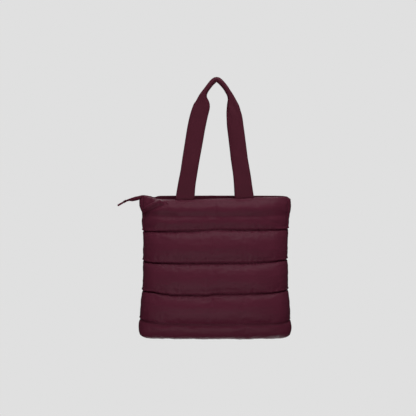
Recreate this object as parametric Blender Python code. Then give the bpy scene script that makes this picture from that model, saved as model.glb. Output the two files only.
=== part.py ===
"""Puffer tote bag, hanging by its two handles.

Two quilted panels meet at the side seams and the bottom seam, two padded straps are sewn in behind their
top edges, and an open zip runs along the inside of the mouth and out of the left corner.
Lengths are in metres. +Z is up, the front of the bag faces -Y, and the origin is the point under the
handles that the bag hangs from.
"""

import math

import bmesh
import bpy
from mathutils import Matrix, Vector

# Space between pieces that touch on the real bag
GAP = 0.0003

# Body
BAG_SHIFT = -0.004          # centre line of the body, seen from the hang point
EDGE_DROP = 0.295           # hang point down to the back top edge
BODY_HEIGHT = 0.366         # back top edge down to the bottom seam
HALF_WIDTH = 0.1935         # centre line to the middle of the side wall, at the widest section
HALF_DEPTH = 0.053          # seam plane to the middle of the wall, at the deepest section
CORNER_RADIUS = 0.010       # bottom corners, seen from the front
WALL = 0.0024               # cloth at a quilt seam
PUFF = 0.0125               # how far a channel stands out from its seams
LINING_PUFF = 0.0035        # how far it stands in
SIDE_PUFF = 0.12            # share of the puff that is left at the side seams
SIDE_FADE = 5               # how late the puff falls away towards the side seams
CHANNEL_SQUARE = 2.2        # how flat a channel's crown is (2 is round)
EDGE_DIP = 0.010            # how far the top edge drops at the left corner
SEAM_SAG = 0.0055           # how far a quilt seam hangs below its nominal place

# Handles
HANDLE_SPREAD = 0.0765      # hang point to the middle of a leg where it leaves the bag
STRAP_WIDTH = 0.046
STRAP_THICK = 0.011
GRIP = 0.0135               # thickness of the rolled grip
SEWN_THICK = 0.004          # strap end, pressed flat where it is sewn in
SEWN_LENGTH = 0.022         # strap end hidden behind the top edge
GRIP_SQUARE = 2.0           # how square the section is, from a round grip
STRAP_SQUARE = 3.2          # to a full strap

# Zip
TAPE_WIDTH = 0.010
TAPE_THICK = 0.0012
TEETH = 0.0026              # width and thickness of the row of teeth
TAPE_RISE = 0.0012          # top of the teeth below the top edge
TAPE_LEAN = 0.75            # teeth to the seam plane, as a share of the sewn edge's distance
TAPE_END = 0.93             # right end of the tapes, as a share of the right half width
TAB_LENGTH = 0.066
TAB_HEIGHT = 0.013
TAB_DEPTH = 0.012
TAB_LAP = 0.005             # tab held between the ends of the two tapes
SLIDER_LENGTH = 0.009
SLIDER_HEIGHT = 0.0062
SLIDER_THICK = 0.0055
PULL_LENGTH = 0.017
PULL_WIDTH = 0.0050
PULL_THICK = 0.0018
PULL_SLOPE = 30.0           # degrees below level
ROUND_CORNER = 0.33         # corners of the slider and the pull, as a share of their width
EASED_EDGE = 0.18           # their rims, as a share of their thickness

# How fine the meshes are
COLUMNS = 32                # across a panel
ROWS = 6                    # down each channel
STRAP_SIDES = 12
STRAP_STEP = 0.016          # between the rings of a handle
TAPE_STEPS = 26
TAB_SIDES = 12
TAB_STEPS = 14
CORNER_STEPS = 3
SHARP_ANGLE = 50.0          # degrees between faces, past which an edge shows

# Sections of the body: down as a share of BODY_HEIGHT, left and right half widths as shares of
# HALF_WIDTH, depth as a share of HALF_DEPTH, and how square the section is (2 is an ellipse)
SECTION_COLUMNS = ("down", "left", "right", "depth", "square")
SECTIONS = (
    (0.000, 1.016, 1.012, 0.40, 2.3),
    (0.066, 1.008, 1.014, 0.46, 2.3),
    (0.123, 0.980, 1.006, 0.52, 2.4),
    (0.173, 0.978, 0.992, 0.57, 2.5),
    (0.241, 0.964, 0.978, 0.63, 2.6),
    (0.351, 0.953, 0.964, 0.75, 2.8),
    (0.462, 0.959, 0.964, 0.84, 3.0),
    (0.569, 0.951, 0.964, 0.92, 3.1),
    (0.675, 0.966, 0.972, 0.97, 3.2),
    (0.783, 0.978, 0.983, 1.00, 3.3),
    (0.880, 0.999, 1.000, 0.98, 3.4),
    (1.000, 1.004, 1.006, 0.98, 3.4),
)

# Quilted channels: top and bottom as shares of BODY_HEIGHT, outer and inner puff as shares of PUFF and
# LINING_PUFF. The top one lies flat inside, where a facing backs it, and the last one rolls under.
CHANNEL_COLUMNS = ("top", "bottom", "puff", "lining")
CHANNELS = (
    (0.000, 0.241, 0.95, 0.0),
    (0.241, 0.462, 1.00, 1.0),
    (0.462, 0.675, 1.00, 1.0),
    (0.675, 0.880, 1.00, 1.0),
    (0.880, 1.000, 0.85, 1.0),
)

# How far each quilt seam hangs below its nominal place, as shares of SEAM_SAG: across from the left
# seam (-1) to the right one (1)
SAG_COLUMNS = ("across", "seam1", "seam2", "seam3", "seam4")
SEAM_SAGS = (
    (-1.00, 0.40, -0.30, -0.45, -0.90),
    (-0.87, 0.52, 0.25, -0.40, -0.30),
    (-0.69, 0.43, 0.25, 0.35, 0.48),
    (-0.50, 0.33, 0.33, 0.76, 0.66),
    (-0.14, -0.10, 0.28, 0.76, 0.90),
    (0.00, -0.40, 0.24, 0.30, 0.90),
    (0.42, -0.28, 0.20, 0.10, 0.62),
    (0.76, -0.28, -0.25, -0.15, 0.57),
    (0.90, -0.33, -0.75, -0.57, 0.40),
    (1.00, -0.55, -0.90, -0.85, -0.25),
)

# Top edges: across from the left seam (-1) to the right one (1), and the drop of each panel's edge below
# the back's highest point as a share of EDGE_DIP
EDGE_COLUMNS = ("across", "front", "back")
EDGES = (
    (-1.00, 1.05, 1.05),
    (-0.96, 1.00, 1.00),
    (-0.93, 0.00, 0.05),
    (-0.87, 0.20, 0.05),
    (-0.81, 0.45, 0.38),
    (-0.75, 0.72, 0.06),
    (-0.70, 0.85, 0.02),
    (-0.33, 0.87, 0.00),
    (0.00, 0.67, 0.00),
    (0.33, 0.52, 0.00),
    (0.53, 0.32, 0.00),
    (0.86, 0.27, 0.02),
    (0.95, 0.32, 0.15),
    (1.00, 0.85, 0.75),
)

# Folds pressed into the outer face: ends as across and down shares, breadth and depth as shares of PUFF
FOLD_COLUMNS = ("x1", "down1", "x2", "down2", "breadth", "deep")
FRONT_FOLDS = (
    (-0.74, 0.050, -0.99, 0.125, 0.75, 0.62),
    (-0.72, 0.098, -0.99, 0.128, 0.60, 0.40),
    (-0.70, 0.113, 0.97, 0.113, 1.10, 0.22),
)
BACK_FOLDS = (
    (-0.80, 0.060, -0.99, 0.125, 0.75, 0.50),
    (-0.80, 0.113, 0.97, 0.113, 1.10, 0.20),
)

# Handle, from the left end over the grip to the right end: across as a share of HANDLE_SPREAD, up as a
# share of the way from the top edge to the grip, and flat from a round grip (0) to a full strap (1)
HANDLE_COLUMNS = ("across", "up", "flat")
HANDLE = (
    (-1.056, 0.000, 1.07),
    (-1.003, 0.101, 1.00),
    (-0.931, 0.205, 0.96),
    (-0.867, 0.308, 0.98),
    (-0.772, 0.446, 1.01),
    (-0.680, 0.584, 1.03),
    (-0.590, 0.688, 1.01),
    (-0.510, 0.756, 0.95),
    (-0.476, 0.791, 0.85),
    (-0.478, 0.825, 0.50),
    (-0.452, 0.860, 0.19),
    (-0.383, 0.894, 0.02),
    (-0.286, 0.929, 0.00),
    (-0.165, 0.967, 0.00),
    (0.000, 1.000, 0.03),
    (0.168, 0.968, 0.00),
    (0.299, 0.929, 0.00),
    (0.384, 0.894, 0.00),
    (0.469, 0.860, 0.05),
    (0.513, 0.825, 0.20),
    (0.527, 0.791, 0.43),
    (0.558, 0.756, 0.61),
    (0.600, 0.688, 0.80),
    (0.644, 0.584, 0.92),
    (0.714, 0.446, 0.93),
    (0.782, 0.308, 0.94),
    (0.867, 0.170, 0.98),
    (0.935, 0.000, 1.09),
)

# Zip tab, from inside the mouth out past the left corner: along and down as shares of TAB_LENGTH,
# height as a share of TAB_HEIGHT, depth as a share of TAB_DEPTH
TAB_COLUMNS = ("along", "down", "height", "depth")
TAB = (
    (0.00, 0.100, 0.38, 0.62),
    (0.20, 0.036, 0.62, 0.86),
    (0.38, 0.036, 0.78, 0.90),
    (0.52, 0.066, 0.78, 0.92),
    (0.66, 0.103, 0.87, 1.00),
    (0.78, 0.135, 0.76, 0.90),
    (0.90, 0.152, 0.50, 0.70),
    (1.00, 0.182, 0.42, 0.52),
)
TAB_START = 0.83            # where the tab begins, as a share of the left half width

# Colours
NYLON = (0.070, 0.019, 0.030)
TAPE_CLOTH = (0.040, 0.012, 0.018)
LACQUER = (0.045, 0.014, 0.020)

TOP_Z = -EDGE_DROP
GRIP_Z = GRIP / 2


def table(columns, rows):
    """The rows of a table as dictionaries under their column names."""
    return [dict(zip(columns, row)) for row in rows]


def along(rows, key, place, value):
    """A column's value at a place, on a smooth curve through the rows that never overshoots them."""
    xs = [row[key] for row in rows]
    ys = [row[value] for row in rows]
    if place <= xs[0]:
        return ys[0]
    if place >= xs[-1]:
        return ys[-1]
    slopes = [(ys[i + 1] - ys[i]) / (xs[i + 1] - xs[i]) for i in range(len(xs) - 1)]

    def tangent(i):
        if i == 0 or i == len(xs) - 1:
            return slopes[0] if i == 0 else slopes[-1]
        before, after = slopes[i - 1], slopes[i]
        if before * after <= 0.0:
            return 0.0
        return 2.0 * before * after / (before + after)

    i = max(n for n in range(len(xs) - 1) if xs[n] <= place)
    step = xs[i + 1] - xs[i]
    t = (place - xs[i]) / step
    return (ys[i] * (2 * t**3 - 3 * t**2 + 1)
            + tangent(i) * step * (t**3 - 2 * t**2 + t)
            + ys[i + 1] * (3 * t**2 - 2 * t**3)
            + tangent(i + 1) * step * (t**3 - t**2))


SECTION_ROWS = table(SECTION_COLUMNS, SECTIONS)
CHANNEL_ROWS = table(CHANNEL_COLUMNS, CHANNELS)
EDGE_ROWS = table(EDGE_COLUMNS, EDGES)
SAG_ROWS = table(SAG_COLUMNS, SEAM_SAGS)
HANDLE_ROWS = table(HANDLE_COLUMNS, HANDLE)
TAB_ROWS = table(TAB_COLUMNS, TAB)
ROLL_TOP = CHANNEL_ROWS[-1]["top"]


def corner_inset(down):
    """How far the bottom corner's round pulls the side in, at a share of the height."""
    below = down * BODY_HEIGHT - (BODY_HEIGHT - CORNER_RADIUS)
    if below <= 0.0:
        return 0.0
    return CORNER_RADIUS - math.sqrt(max(CORNER_RADIUS**2 - below**2, 0.0))


def half_width(down, side):
    """Centre line to the middle of the side wall; side is 'left' or 'right'."""
    return HALF_WIDTH * along(SECTION_ROWS, "down", down, side) - corner_inset(down)


def half_depth(down):
    """Seam plane to the middle of the wall; it closes to nothing where the last channel rolls under."""
    depth = HALF_DEPTH * along(SECTION_ROWS, "down", down, "depth")
    if down > ROLL_TOP:
        depth *= math.sqrt(max(1.0 - ((down - ROLL_TOP) / (1.0 - ROLL_TOP))**2, 0.0))
    return depth


def face_depth(x, down):
    """Depth of the middle of the wall at a place across the body."""
    square = along(SECTION_ROWS, "down", down, "square")
    share = abs(x) / half_width(down, "left" if x < 0 else "right")
    return half_depth(down) * max(1.0 - share**square, 0.0)**(1.0 / square)


def edge_drop(across, panel):
    """Drop of a panel's top edge at a place across it."""
    return EDGE_DIP * along(EDGE_ROWS, "across", across, panel)


def seam_sag(across, down):
    """How far the cloth hangs below its nominal place, from the sags of the seams above and below it."""
    stops = [(0.0, 0.0)]
    for number, channel in enumerate(CHANNEL_ROWS[:-1], 1):
        share = along(SAG_ROWS, "across", across, "seam" + str(number))
        stops.append((channel["bottom"], SEAM_SAG * share))
    stops.append((1.0, 0.0))
    for (top, above), (bottom, below) in zip(stops, stops[1:]):
        if down <= bottom:
            return above + (below - above) * (down - top) / (bottom - top)
    return 0.0


def channel_profile(place):
    """Height of a channel across itself, from its upper seam (0) to its lower one (1)."""
    return max(1.0 - abs(2.0 * place - 1.0)**CHANNEL_SQUARE, 0.0)**0.5


def panel_rows():
    """Every row of a panel: its share of the height, its channel and its place in that channel."""
    rows = []
    for number, channel in enumerate(CHANNEL_ROWS):
        first = 0 if number == 0 else 1
        for step in range(first, ROWS + 1):
            if channel is CHANNEL_ROWS[-1]:
                place = step / ROWS
                share = math.sin(place * math.pi / 2)
            else:
                place = 0.5 - 0.5 * math.cos(math.pi * step / ROWS)
                share = place
            down = channel["top"] + (channel["bottom"] - channel["top"]) * share
            rows.append((down, channel, place))
    return rows


def section_place(turn, down):
    """Shares across and deep of a place on a section; turn runs from the left seam (pi) to the right (0)."""
    power = 2.0 / along(SECTION_ROWS, "down", down, "square")
    across = math.copysign(abs(math.cos(turn))**power, math.cos(turn))
    return across, max(math.sin(turn), 0.0)**power


def middle_point(turn, down, panel):
    """Point in the middle of a panel's wall, and its share across."""
    out = -1.0 if panel == "front" else 1.0
    side = "left" if math.cos(turn) < 0 else "right"
    fade = max(1.0 - down / CHANNEL_ROWS[0]["bottom"], 0.0)**2
    across = section_place(turn, down)[0]
    down += (edge_drop(across, panel) * fade + seam_sag(across, down)) / BODY_HEIGHT
    across, deep = section_place(turn, down)
    x = BAG_SHIFT + across * half_width(down, side)
    return Vector((x, out * (GAP / 2 + half_depth(down) * deep), TOP_Z - down * BODY_HEIGHT)), across


def fold_depth(across, down, folds):
    """How far the folds press the outer face in at a place."""
    total = 0.0
    spot = Vector((across * HALF_WIDTH, down * BODY_HEIGHT))
    for fold in folds:
        start = Vector((fold["x1"] * HALF_WIDTH, fold["down1"] * BODY_HEIGHT))
        end = Vector((fold["x2"] * HALF_WIDTH, fold["down2"] * BODY_HEIGHT))
        way = end - start
        share = min(max((spot - start).dot(way) / way.length_squared, 0.0), 1.0)
        apart = (spot - start - way * share).length
        total += fold["deep"] * PUFF * math.exp(-(apart / (fold["breadth"] * PUFF))**2)
    return total


def make_object(name, vertices, faces, material):
    """A mesh object with its faces pointing out and smooth shading."""
    mesh = bpy.data.meshes.new(name)
    mesh.from_pydata([tuple(v) for v in vertices], [], faces)
    work = bmesh.new()
    work.from_mesh(mesh)
    bmesh.ops.triangulate(work, faces=[f for f in work.faces if len(f.verts) > 4])
    bmesh.ops.recalc_face_normals(work, faces=work.faces)
    work.to_mesh(mesh)
    work.free()
    mesh.shade_smooth()
    mesh.set_sharp_from_angle(angle=math.radians(SHARP_ANGLE))
    mesh.materials.append(material)
    item = bpy.data.objects.new(name, mesh)
    bpy.context.scene.collection.objects.link(item)
    return item


def loft(name, rings, material):
    """A closed solid through rings of points, with a flat cap at each end."""
    count = len(rings[0])
    vertices = [point for ring in rings for point in ring]
    faces = [list(range(count)), list(range(len(vertices) - count, len(vertices)))]
    for ring in range(len(rings) - 1):
        for i in range(count):
            j = (i + 1) % count
            base = ring * count
            faces.append((base + i, base + j, base + count + j, base + count + i))
    return make_object(name, vertices, faces, material)


def make_panel(name, panel, folds, material):
    """A quilted panel: an outer and an inner skin on either side of the wall's middle, with closed rims."""
    out = -1.0 if panel == "front" else 1.0
    rows = panel_rows()
    turns = [math.pi * (1.0 - i / COLUMNS) for i in range(COLUMNS + 1)]
    middle = [[middle_point(turn, down, panel) for turn in turns] for down, _, _ in rows]
    last_row, last_column = len(rows) - 1, COLUMNS
    outer, inner = [], []
    for r, (down, channel, place) in enumerate(rows):
        for c, turn in enumerate(turns):
            point, across = middle[r][c]
            if r == last_row:
                normal = Vector((0.0, 0.0, -1.0))
            else:
                fall = middle[min(r + 1, last_row)][c][0] - middle[max(r - 1, 0)][c][0]
                if c in (0, last_column):
                    fall.y = 0.0
                    normal = Vector((-fall.z, 0.0, fall.x)) * (-1.0 if c == 0 else 1.0)
                else:
                    run = middle[r][c + 1][0] - middle[r][c - 1][0]
                    normal = run.cross(fall)
                    if normal.y * out < 0.0:
                        normal.negate()
                normal.normalize()
            side_fade = SIDE_PUFF + (1.0 - SIDE_PUFF) * max(1.0 - abs(math.cos(turn))**SIDE_FADE, 0.0)**0.5
            puff = channel_profile(place) * side_fade
            swell = PUFF * channel["puff"] * puff
            swell = max(swell - fold_depth(across, down, folds) * side_fade, 0.0)
            outer.append(point + normal * (WALL / 2 + swell))
            inner.append(point - normal * (WALL / 2 + LINING_PUFF * channel["lining"] * puff))
    wide = COLUMNS + 1
    offset = len(outer)
    faces = []
    for r in range(last_row):
        for c in range(COLUMNS):
            quad = [r * wide + c, r * wide + c + 1, (r + 1) * wide + c + 1, (r + 1) * wide + c]
            faces.append(quad)
            faces.append([offset + i for i in reversed(quad)])
    rim = [c for c in range(wide)]
    rim += [r * wide + last_column for r in range(1, last_row + 1)]
    rim += [last_row * wide + c for c in range(last_column - 1, -1, -1)]
    rim += [r * wide for r in range(last_row - 1, 0, -1)]
    for i, here in enumerate(rim):
        there = rim[(i + 1) % len(rim)]
        faces.append([there, here, offset + here, offset + there])
    return make_object(name, outer + inner, faces, material)


def sewn_depth(x, down):
    """Seam plane to the middle of a strap end that lies against the inside of a panel."""
    return GAP / 2 + face_depth(x, down) - WALL / 2 - GAP - SEWN_THICK / 2


def handle_stations():
    """Places along a handle: across, height, flatness and the share of the way up, ends included."""
    rows = HANDLE_ROWS
    rise = GRIP_Z - TOP_Z
    stations = []
    for i in range(len(rows) - 1):
        a, b = rows[i], rows[i + 1]
        before, after = rows[max(i - 1, 0)], rows[min(i + 2, len(rows) - 1)]
        length = math.hypot((b["across"] - a["across"]) * HANDLE_SPREAD, (b["up"] - a["up"]) * rise)
        steps = max(round(length / STRAP_STEP), 1)
        for step in range(steps):
            t = step / steps
            spot = {}
            for key in HANDLE_COLUMNS:
                spot[key] = 0.5 * (2 * a[key] + (b[key] - before[key]) * t
                                   + (2 * before[key] - 5 * a[key] + 4 * b[key] - after[key]) * t**2
                                   + (3 * a[key] - before[key] - 3 * b[key] + after[key]) * t**3)
            stations.append(spot)
    stations.append(dict(rows[-1]))
    return stations


def make_handle(name, panel, material):
    """A padded strap: pressed flat behind the top edge, full along the legs and rolled at the grip."""
    out = -1.0 if panel == "front" else 1.0
    rise = GRIP_Z - TOP_Z
    places = []
    for spot in handle_stations():
        places.append((spot["across"] * HANDLE_SPREAD, TOP_Z + spot["up"] * rise, spot["flat"], spot["up"]))
    for end in (0, -1):
        x, z, flat, _ = places[end]
        next_x, next_z = places[1 if end == 0 else -2][:2]
        lean = (next_x - x) * SEWN_LENGTH / (next_z - z)
        sewn = [(x - lean * part, z - SEWN_LENGTH * part, flat, -part) for part in (0.5, 1.0)]
        places = sewn[::-1] + places if end == 0 else places + sewn
    swell_end = HANDLE_ROWS[1]["up"]
    rings = []
    for i, (x, z, flat, up) in enumerate(places):
        before, after = places[max(i - 1, 0)], places[min(i + 1, len(places) - 1)]
        way = Vector((after[0] - before[0], 0.0, after[1] - before[1])).normalized()
        wide = Vector((way.z, 0.0, -way.x))
        width = GRIP + (STRAP_WIDTH - GRIP) * flat
        thick = GRIP + (STRAP_THICK - GRIP) * min(flat, 1.0)
        pressed = 1.0 - min(max(up / swell_end, 0.0), 1.0)
        thick += (SEWN_THICK - thick) * pressed
        down = max(-(z - TOP_Z) / BODY_HEIGHT, 0.0)
        hung = GAP / 2 + GRIP / 2
        square = GRIP_SQUARE + (STRAP_SQUARE - GRIP_SQUARE) * min(max(flat, 0.0), 1.0)
        ring = []
        for k in range(STRAP_SIDES):
            turn = 2.0 * math.pi * (k + 0.5) / STRAP_SIDES
            a = math.copysign(abs(math.cos(turn))**(2.0 / square), math.cos(turn))
            b = math.copysign(abs(math.sin(turn))**(2.0 / square), math.sin(turn))
            point = Vector((x, 0.0, z)) + wide * (a * width / 2)
            seat = sewn_depth(point.x - BAG_SHIFT, down)
            centre = sewn_depth(x - BAG_SHIFT, down)
            seated = centre + (seat - centre) * pressed
            depth = seated + (hung - seated) * max(up, 0.0)
            point.y = out * depth + b * thick / 2
            ring.append(point)
        rings.append(ring)
    return loft(name, rings, material)


def tape_line(x, panel):
    """Sewn edge and teeth edge of a zip tape at a place across the body, as (depth, height) pairs."""
    across = x / half_width(0.0, "left" if x < 0 else "right")
    top = TOP_Z - edge_drop(across, panel) - TAPE_RISE
    down = (TAPE_WIDTH + TEETH + TAPE_RISE) / BODY_HEIGHT
    sewn = sewn_depth(x, down) - SEWN_THICK / 2 - GAP - TAPE_THICK / 2
    return (sewn, top - TAPE_WIDTH - TEETH), (sewn * TAPE_LEAN, top)


def tape_ends():
    """First and last place of the tapes across the body."""
    return -TAB_START * half_width(0.0, "left") - TAB_LAP, TAPE_END * half_width(0.0, "right")


def make_tape(name, panel, material):
    """Half of the zip: a thin tape that leans in, with a thicker row of teeth along its upper edge."""
    out = -1.0 if panel == "front" else 1.0
    start, end = tape_ends()
    rings = []
    for i in range(TAPE_STEPS + 1):
        x = start + (end - start) * (0.5 - 0.5 * math.cos(math.pi * i / TAPE_STEPS))
        low, high = (Vector(edge) for edge in tape_line(x, panel))
        rise = (high - low).normalized()
        flat = Vector((-rise.y, rise.x))
        shoulder = high - rise * TEETH
        corners = ((low, TAPE_THICK), (shoulder, TAPE_THICK), (shoulder, TEETH), (high, TEETH))
        ring = [corner + flat * thick / 2 for corner, thick in corners]
        ring += [corner - flat * thick / 2 for corner, thick in reversed(corners)]
        rings.append([Vector((BAG_SHIFT + x, out * p.x, p.y)) for p in ring])
    return loft(name, rings, material)


def tab_place(spot):
    """Centre of the zip tab at a row of its table."""
    start = BAG_SHIFT - TAB_START * half_width(0.0, "left")
    return Vector((start - spot["along"] * TAB_LENGTH, 0.0, TOP_Z - spot["down"] * TAB_LENGTH))


def make_tab(name, material):
    """The cloth sleeve round the end of the zip, leaving the mouth over the left corner."""
    rings = []
    for i in range(TAB_STEPS + 1):
        place = i / TAB_STEPS
        spot = {key: along(TAB_ROWS, "along", place, key) for key in TAB_COLUMNS}
        centre = tab_place(spot)
        deep = TAB_DEPTH * spot["depth"] / 2
        if place * TAB_LENGTH <= TAB_LAP:
            teeth = tape_line(centre.x - BAG_SHIFT, "front")[1][0] - TEETH / 2
            deep = teeth - GAP
        ring = []
        for k in range(TAB_SIDES):
            turn = 2.0 * math.pi * k / TAB_SIDES
            y = math.cos(turn) * deep
            z = math.sin(turn) * TAB_HEIGHT * spot["height"] / 2
            ring.append(centre + Vector((0.0, y, z)))
        rings.append(ring)
    return loft(name, rings, material)


def down_slope(item, start):
    """Lay a piece that was modelled along -X from its own origin down the pull's slope."""
    item.matrix_world = Matrix.Translation(start) @ Matrix.Rotation(math.radians(-PULL_SLOPE), 4, "Y")
    return item


def rounded_outline(length, width, corner, steps):
    """Outline of a flat piece from x 0 to -length, with round corners."""
    points = []
    centres = ((-corner, width / 2 - corner, 0), (-length + corner, width / 2 - corner, 1),
               (-length + corner, -width / 2 + corner, 2), (-corner, -width / 2 + corner, 3))
    for x, z, quarter in centres:
        for i in range(steps + 1):
            turn = math.pi / 2 * (quarter + i / steps)
            points.append((x + corner * math.cos(turn), z + corner * math.sin(turn)))
    return points


def flat_piece(name, length, width, thick, material):
    """A flat piece in the XZ plane with round corners and eased rims."""
    edge = thick * EASED_EDGE
    levels = ((-thick / 2, edge), (-thick / 2 + edge, 0.0), (thick / 2 - edge, 0.0), (thick / 2, edge))
    rings = []
    for y, inset in levels:
        outline = rounded_outline(length, width, width * ROUND_CORNER, CORNER_STEPS)
        middle = -length / 2
        ring = []
        for x, z in outline:
            away = Vector((x - middle, z))
            away *= 1.0 - inset / (width / 2)
            ring.append(Vector((middle + away.x, y, away.y)))
        rings.append(ring)
    return loft(name, rings, material)


def make_slider(name, material):
    """The slider, at the outer end of the tab."""
    item = flat_piece(name, SLIDER_LENGTH, SLIDER_HEIGHT, SLIDER_THICK, material)
    return down_slope(item, slider_start())


def slider_start():
    """Inner end of the slider, a gap beyond the flat end of the tab."""
    lean = math.radians(PULL_SLOPE)
    corner = SLIDER_HEIGHT * ROUND_CORNER
    reach = corner * (1.0 - math.cos(lean)) + (SLIDER_HEIGHT / 2 - corner) * math.sin(lean)
    return tab_place(TAB_ROWS[-1]) - Vector((GAP + reach, 0.0, 0.0))


def make_pull(name, material):
    """The pull, a gap beyond the slider and in line with it."""
    item = flat_piece(name, PULL_LENGTH, PULL_WIDTH, PULL_THICK, material)
    lean = math.radians(PULL_SLOPE)
    way = Vector((-math.cos(lean), 0.0, -math.sin(lean)))
    return down_slope(item, slider_start() + way * (SLIDER_LENGTH + GAP))


def material(name, colour, roughness, metallic=0.0):
    """A plain surface with the colour, roughness and metallic value of the real one."""
    made = bpy.data.materials.new(name)
    made.use_nodes = True
    surface = made.node_tree.nodes["Principled BSDF"]
    surface.inputs["Base Color"].default_value = (*colour, 1.0)
    surface.inputs["Roughness"].default_value = roughness
    surface.inputs["Metallic"].default_value = metallic
    return made


def main():
    for item in list(bpy.data.objects):
        bpy.data.objects.remove(item, do_unlink=True)
    for panel, folds in (("front", FRONT_FOLDS), ("back", BACK_FOLDS)):
        quilt = material(panel + "_quilted_nylon", NYLON, 0.45)
        make_panel(panel + "_panel", panel, table(FOLD_COLUMNS, folds), quilt)
        make_handle(panel + "_handle", panel, material(panel + "_strap_nylon", NYLON, 0.55))
        make_tape(panel + "_zip_tape", panel, material(panel + "_tape_cloth", TAPE_CLOTH, 0.75))
    make_tab("zip_end_tab", material("tab_nylon", NYLON, 0.55))
    make_slider("zip_slider", material("slider_lacquer", LACQUER, 0.35, 0.4))
    make_pull("zip_pull", material("pull_tape", TAPE_CLOTH, 0.75))


main()
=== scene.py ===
"""Puffer tote bag: its quilted panels, padded straps and open zip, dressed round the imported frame.

Lengths are in metres. +Z is up, the front of the bag faces -Y, and the origin is the point under the
handles that the bag hangs from.
"""

import math

import bmesh
import bpy
from bpy.props import FloatProperty, FloatVectorProperty, IntProperty, PointerProperty
from bpy.types import Operator, Panel, PropertyGroup
from mathutils import Matrix, Vector, noise


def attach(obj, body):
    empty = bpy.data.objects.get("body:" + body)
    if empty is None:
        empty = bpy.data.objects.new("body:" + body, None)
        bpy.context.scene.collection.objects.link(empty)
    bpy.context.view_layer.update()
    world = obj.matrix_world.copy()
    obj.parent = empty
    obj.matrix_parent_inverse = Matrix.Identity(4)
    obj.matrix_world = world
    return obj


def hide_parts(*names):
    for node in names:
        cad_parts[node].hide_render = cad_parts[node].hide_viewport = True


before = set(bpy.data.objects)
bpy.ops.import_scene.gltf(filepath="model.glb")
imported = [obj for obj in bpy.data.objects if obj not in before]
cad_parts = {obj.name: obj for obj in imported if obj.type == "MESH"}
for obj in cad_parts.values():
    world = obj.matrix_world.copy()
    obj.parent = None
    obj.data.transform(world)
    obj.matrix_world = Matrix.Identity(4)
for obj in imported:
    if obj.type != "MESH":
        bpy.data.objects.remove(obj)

bl_info = {
    "name": "Puffer Tote",
    "version": (1, 0, 0),
    "blender": (4, 5, 0),
    "location": "3D View > Sidebar > Tote",
    "description": "Quilted panels, padded straps and an open zip for a hanging puffer tote bag",
    "category": "Object",
}

ROOT = "root"
PANELS = ("front", "back")
SEAM_GAP = 0.0003           # pieces that touch on the real bag stand this far apart
SEAM_CLOSED = 0.00006       # and the two panels this far, where the seam draws them together
SIDE_SEAM = 0.014           # the panels' side pieces are sewn on this far from the side seams
TAIL_START = 0.83           # the zip's sleeve starts at this share of the left half width
TAIL_LAP = 0.005            # and takes in this much of the tapes
TAPE_END = 0.93             # the tapes end at this share of the right half width
SLIDER_LENGTH = 0.009
SLIDER_HEIGHT = 0.0062
SLIDER_THICK = 0.0055

# Sections of the body: down as a share of its height, left and right half widths as shares of the half
# width, depth as a share of the half depth, and how square the section is (2 is an ellipse)
SECTION_COLUMNS = ("down", "left", "right", "depth", "square")
SECTIONS = (
    (0.000, 1.016, 1.012, 0.40, 2.3),
    (0.066, 1.008, 1.014, 0.46, 2.3),
    (0.123, 0.980, 1.006, 0.52, 2.4),
    (0.173, 0.978, 0.992, 0.57, 2.5),
    (0.241, 0.964, 0.978, 0.63, 2.6),
    (0.351, 0.953, 0.964, 0.75, 2.8),
    (0.462, 0.959, 0.964, 0.84, 3.0),
    (0.569, 0.951, 0.964, 0.92, 3.1),
    (0.675, 0.966, 0.972, 0.97, 3.2),
    (0.783, 0.978, 0.983, 1.00, 3.3),
    (0.880, 0.999, 1.000, 0.98, 3.4),
    (1.000, 1.004, 1.006, 0.98, 3.4),
)

# Quilted channels: top and bottom as shares of the height, outer and inner puff as shares of the puff and
# the lining's puff, and how many rows of cloth each one has
CHANNEL_COLUMNS = ("top", "bottom", "puff", "lining", "rows")
CHANNELS = (
    (0.000, 0.241, 0.95, 0.0, 20),
    (0.241, 0.462, 1.00, 1.0, 18),
    (0.462, 0.675, 1.00, 1.0, 18),
    (0.675, 0.880, 1.00, 1.0, 18),
    (0.880, 1.000, 0.62, 1.0, 14),
)

# How far each quilt seam hangs below its nominal place, as shares of the sag: across from the left
# seam (-1) to the right one (1)
SAG_COLUMNS = ("across", "seam1", "seam2", "seam3", "seam4")
SEAM_SAGS = (
    (-1.00, 0.40, -0.30, -0.45, -0.90),
    (-0.87, 0.52, 0.25, -0.40, -0.30),
    (-0.69, 0.43, 0.25, 0.35, 0.48),
    (-0.50, 0.33, 0.33, 0.76, 0.66),
    (-0.14, -0.10, 0.28, 0.76, 0.90),
    (0.00, -0.40, 0.24, 0.30, 0.90),
    (0.42, -0.28, 0.20, 0.10, 0.62),
    (0.76, -0.28, -0.25, -0.15, 0.57),
    (0.90, -0.33, -0.75, -0.57, 0.40),
    (1.00, -0.55, -0.90, -0.85, -0.25),
)

# Top edges: across from the left seam (-1) to the right one (1), and the drop of each panel's edge as a
# share of the dip at the left corner
EDGE_COLUMNS = ("across", "front", "back")
EDGES = (
    (-1.00, 1.05, 1.05),
    (-0.985, 0.95, 0.95),
    (-0.96, 0.35, 0.40),
    (-0.93, 0.00, 0.05),
    (-0.87, 0.20, 0.05),
    (-0.81, 0.45, 0.38),
    (-0.75, 0.72, 0.06),
    (-0.70, 0.85, 0.02),
    (-0.33, 0.87, 0.00),
    (0.00, 0.67, 0.00),
    (0.33, 0.52, 0.00),
    (0.53, 0.32, 0.00),
    (0.86, 0.27, 0.02),
    (0.95, 0.32, 0.15),
    (1.00, 0.85, 0.75),
)

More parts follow.
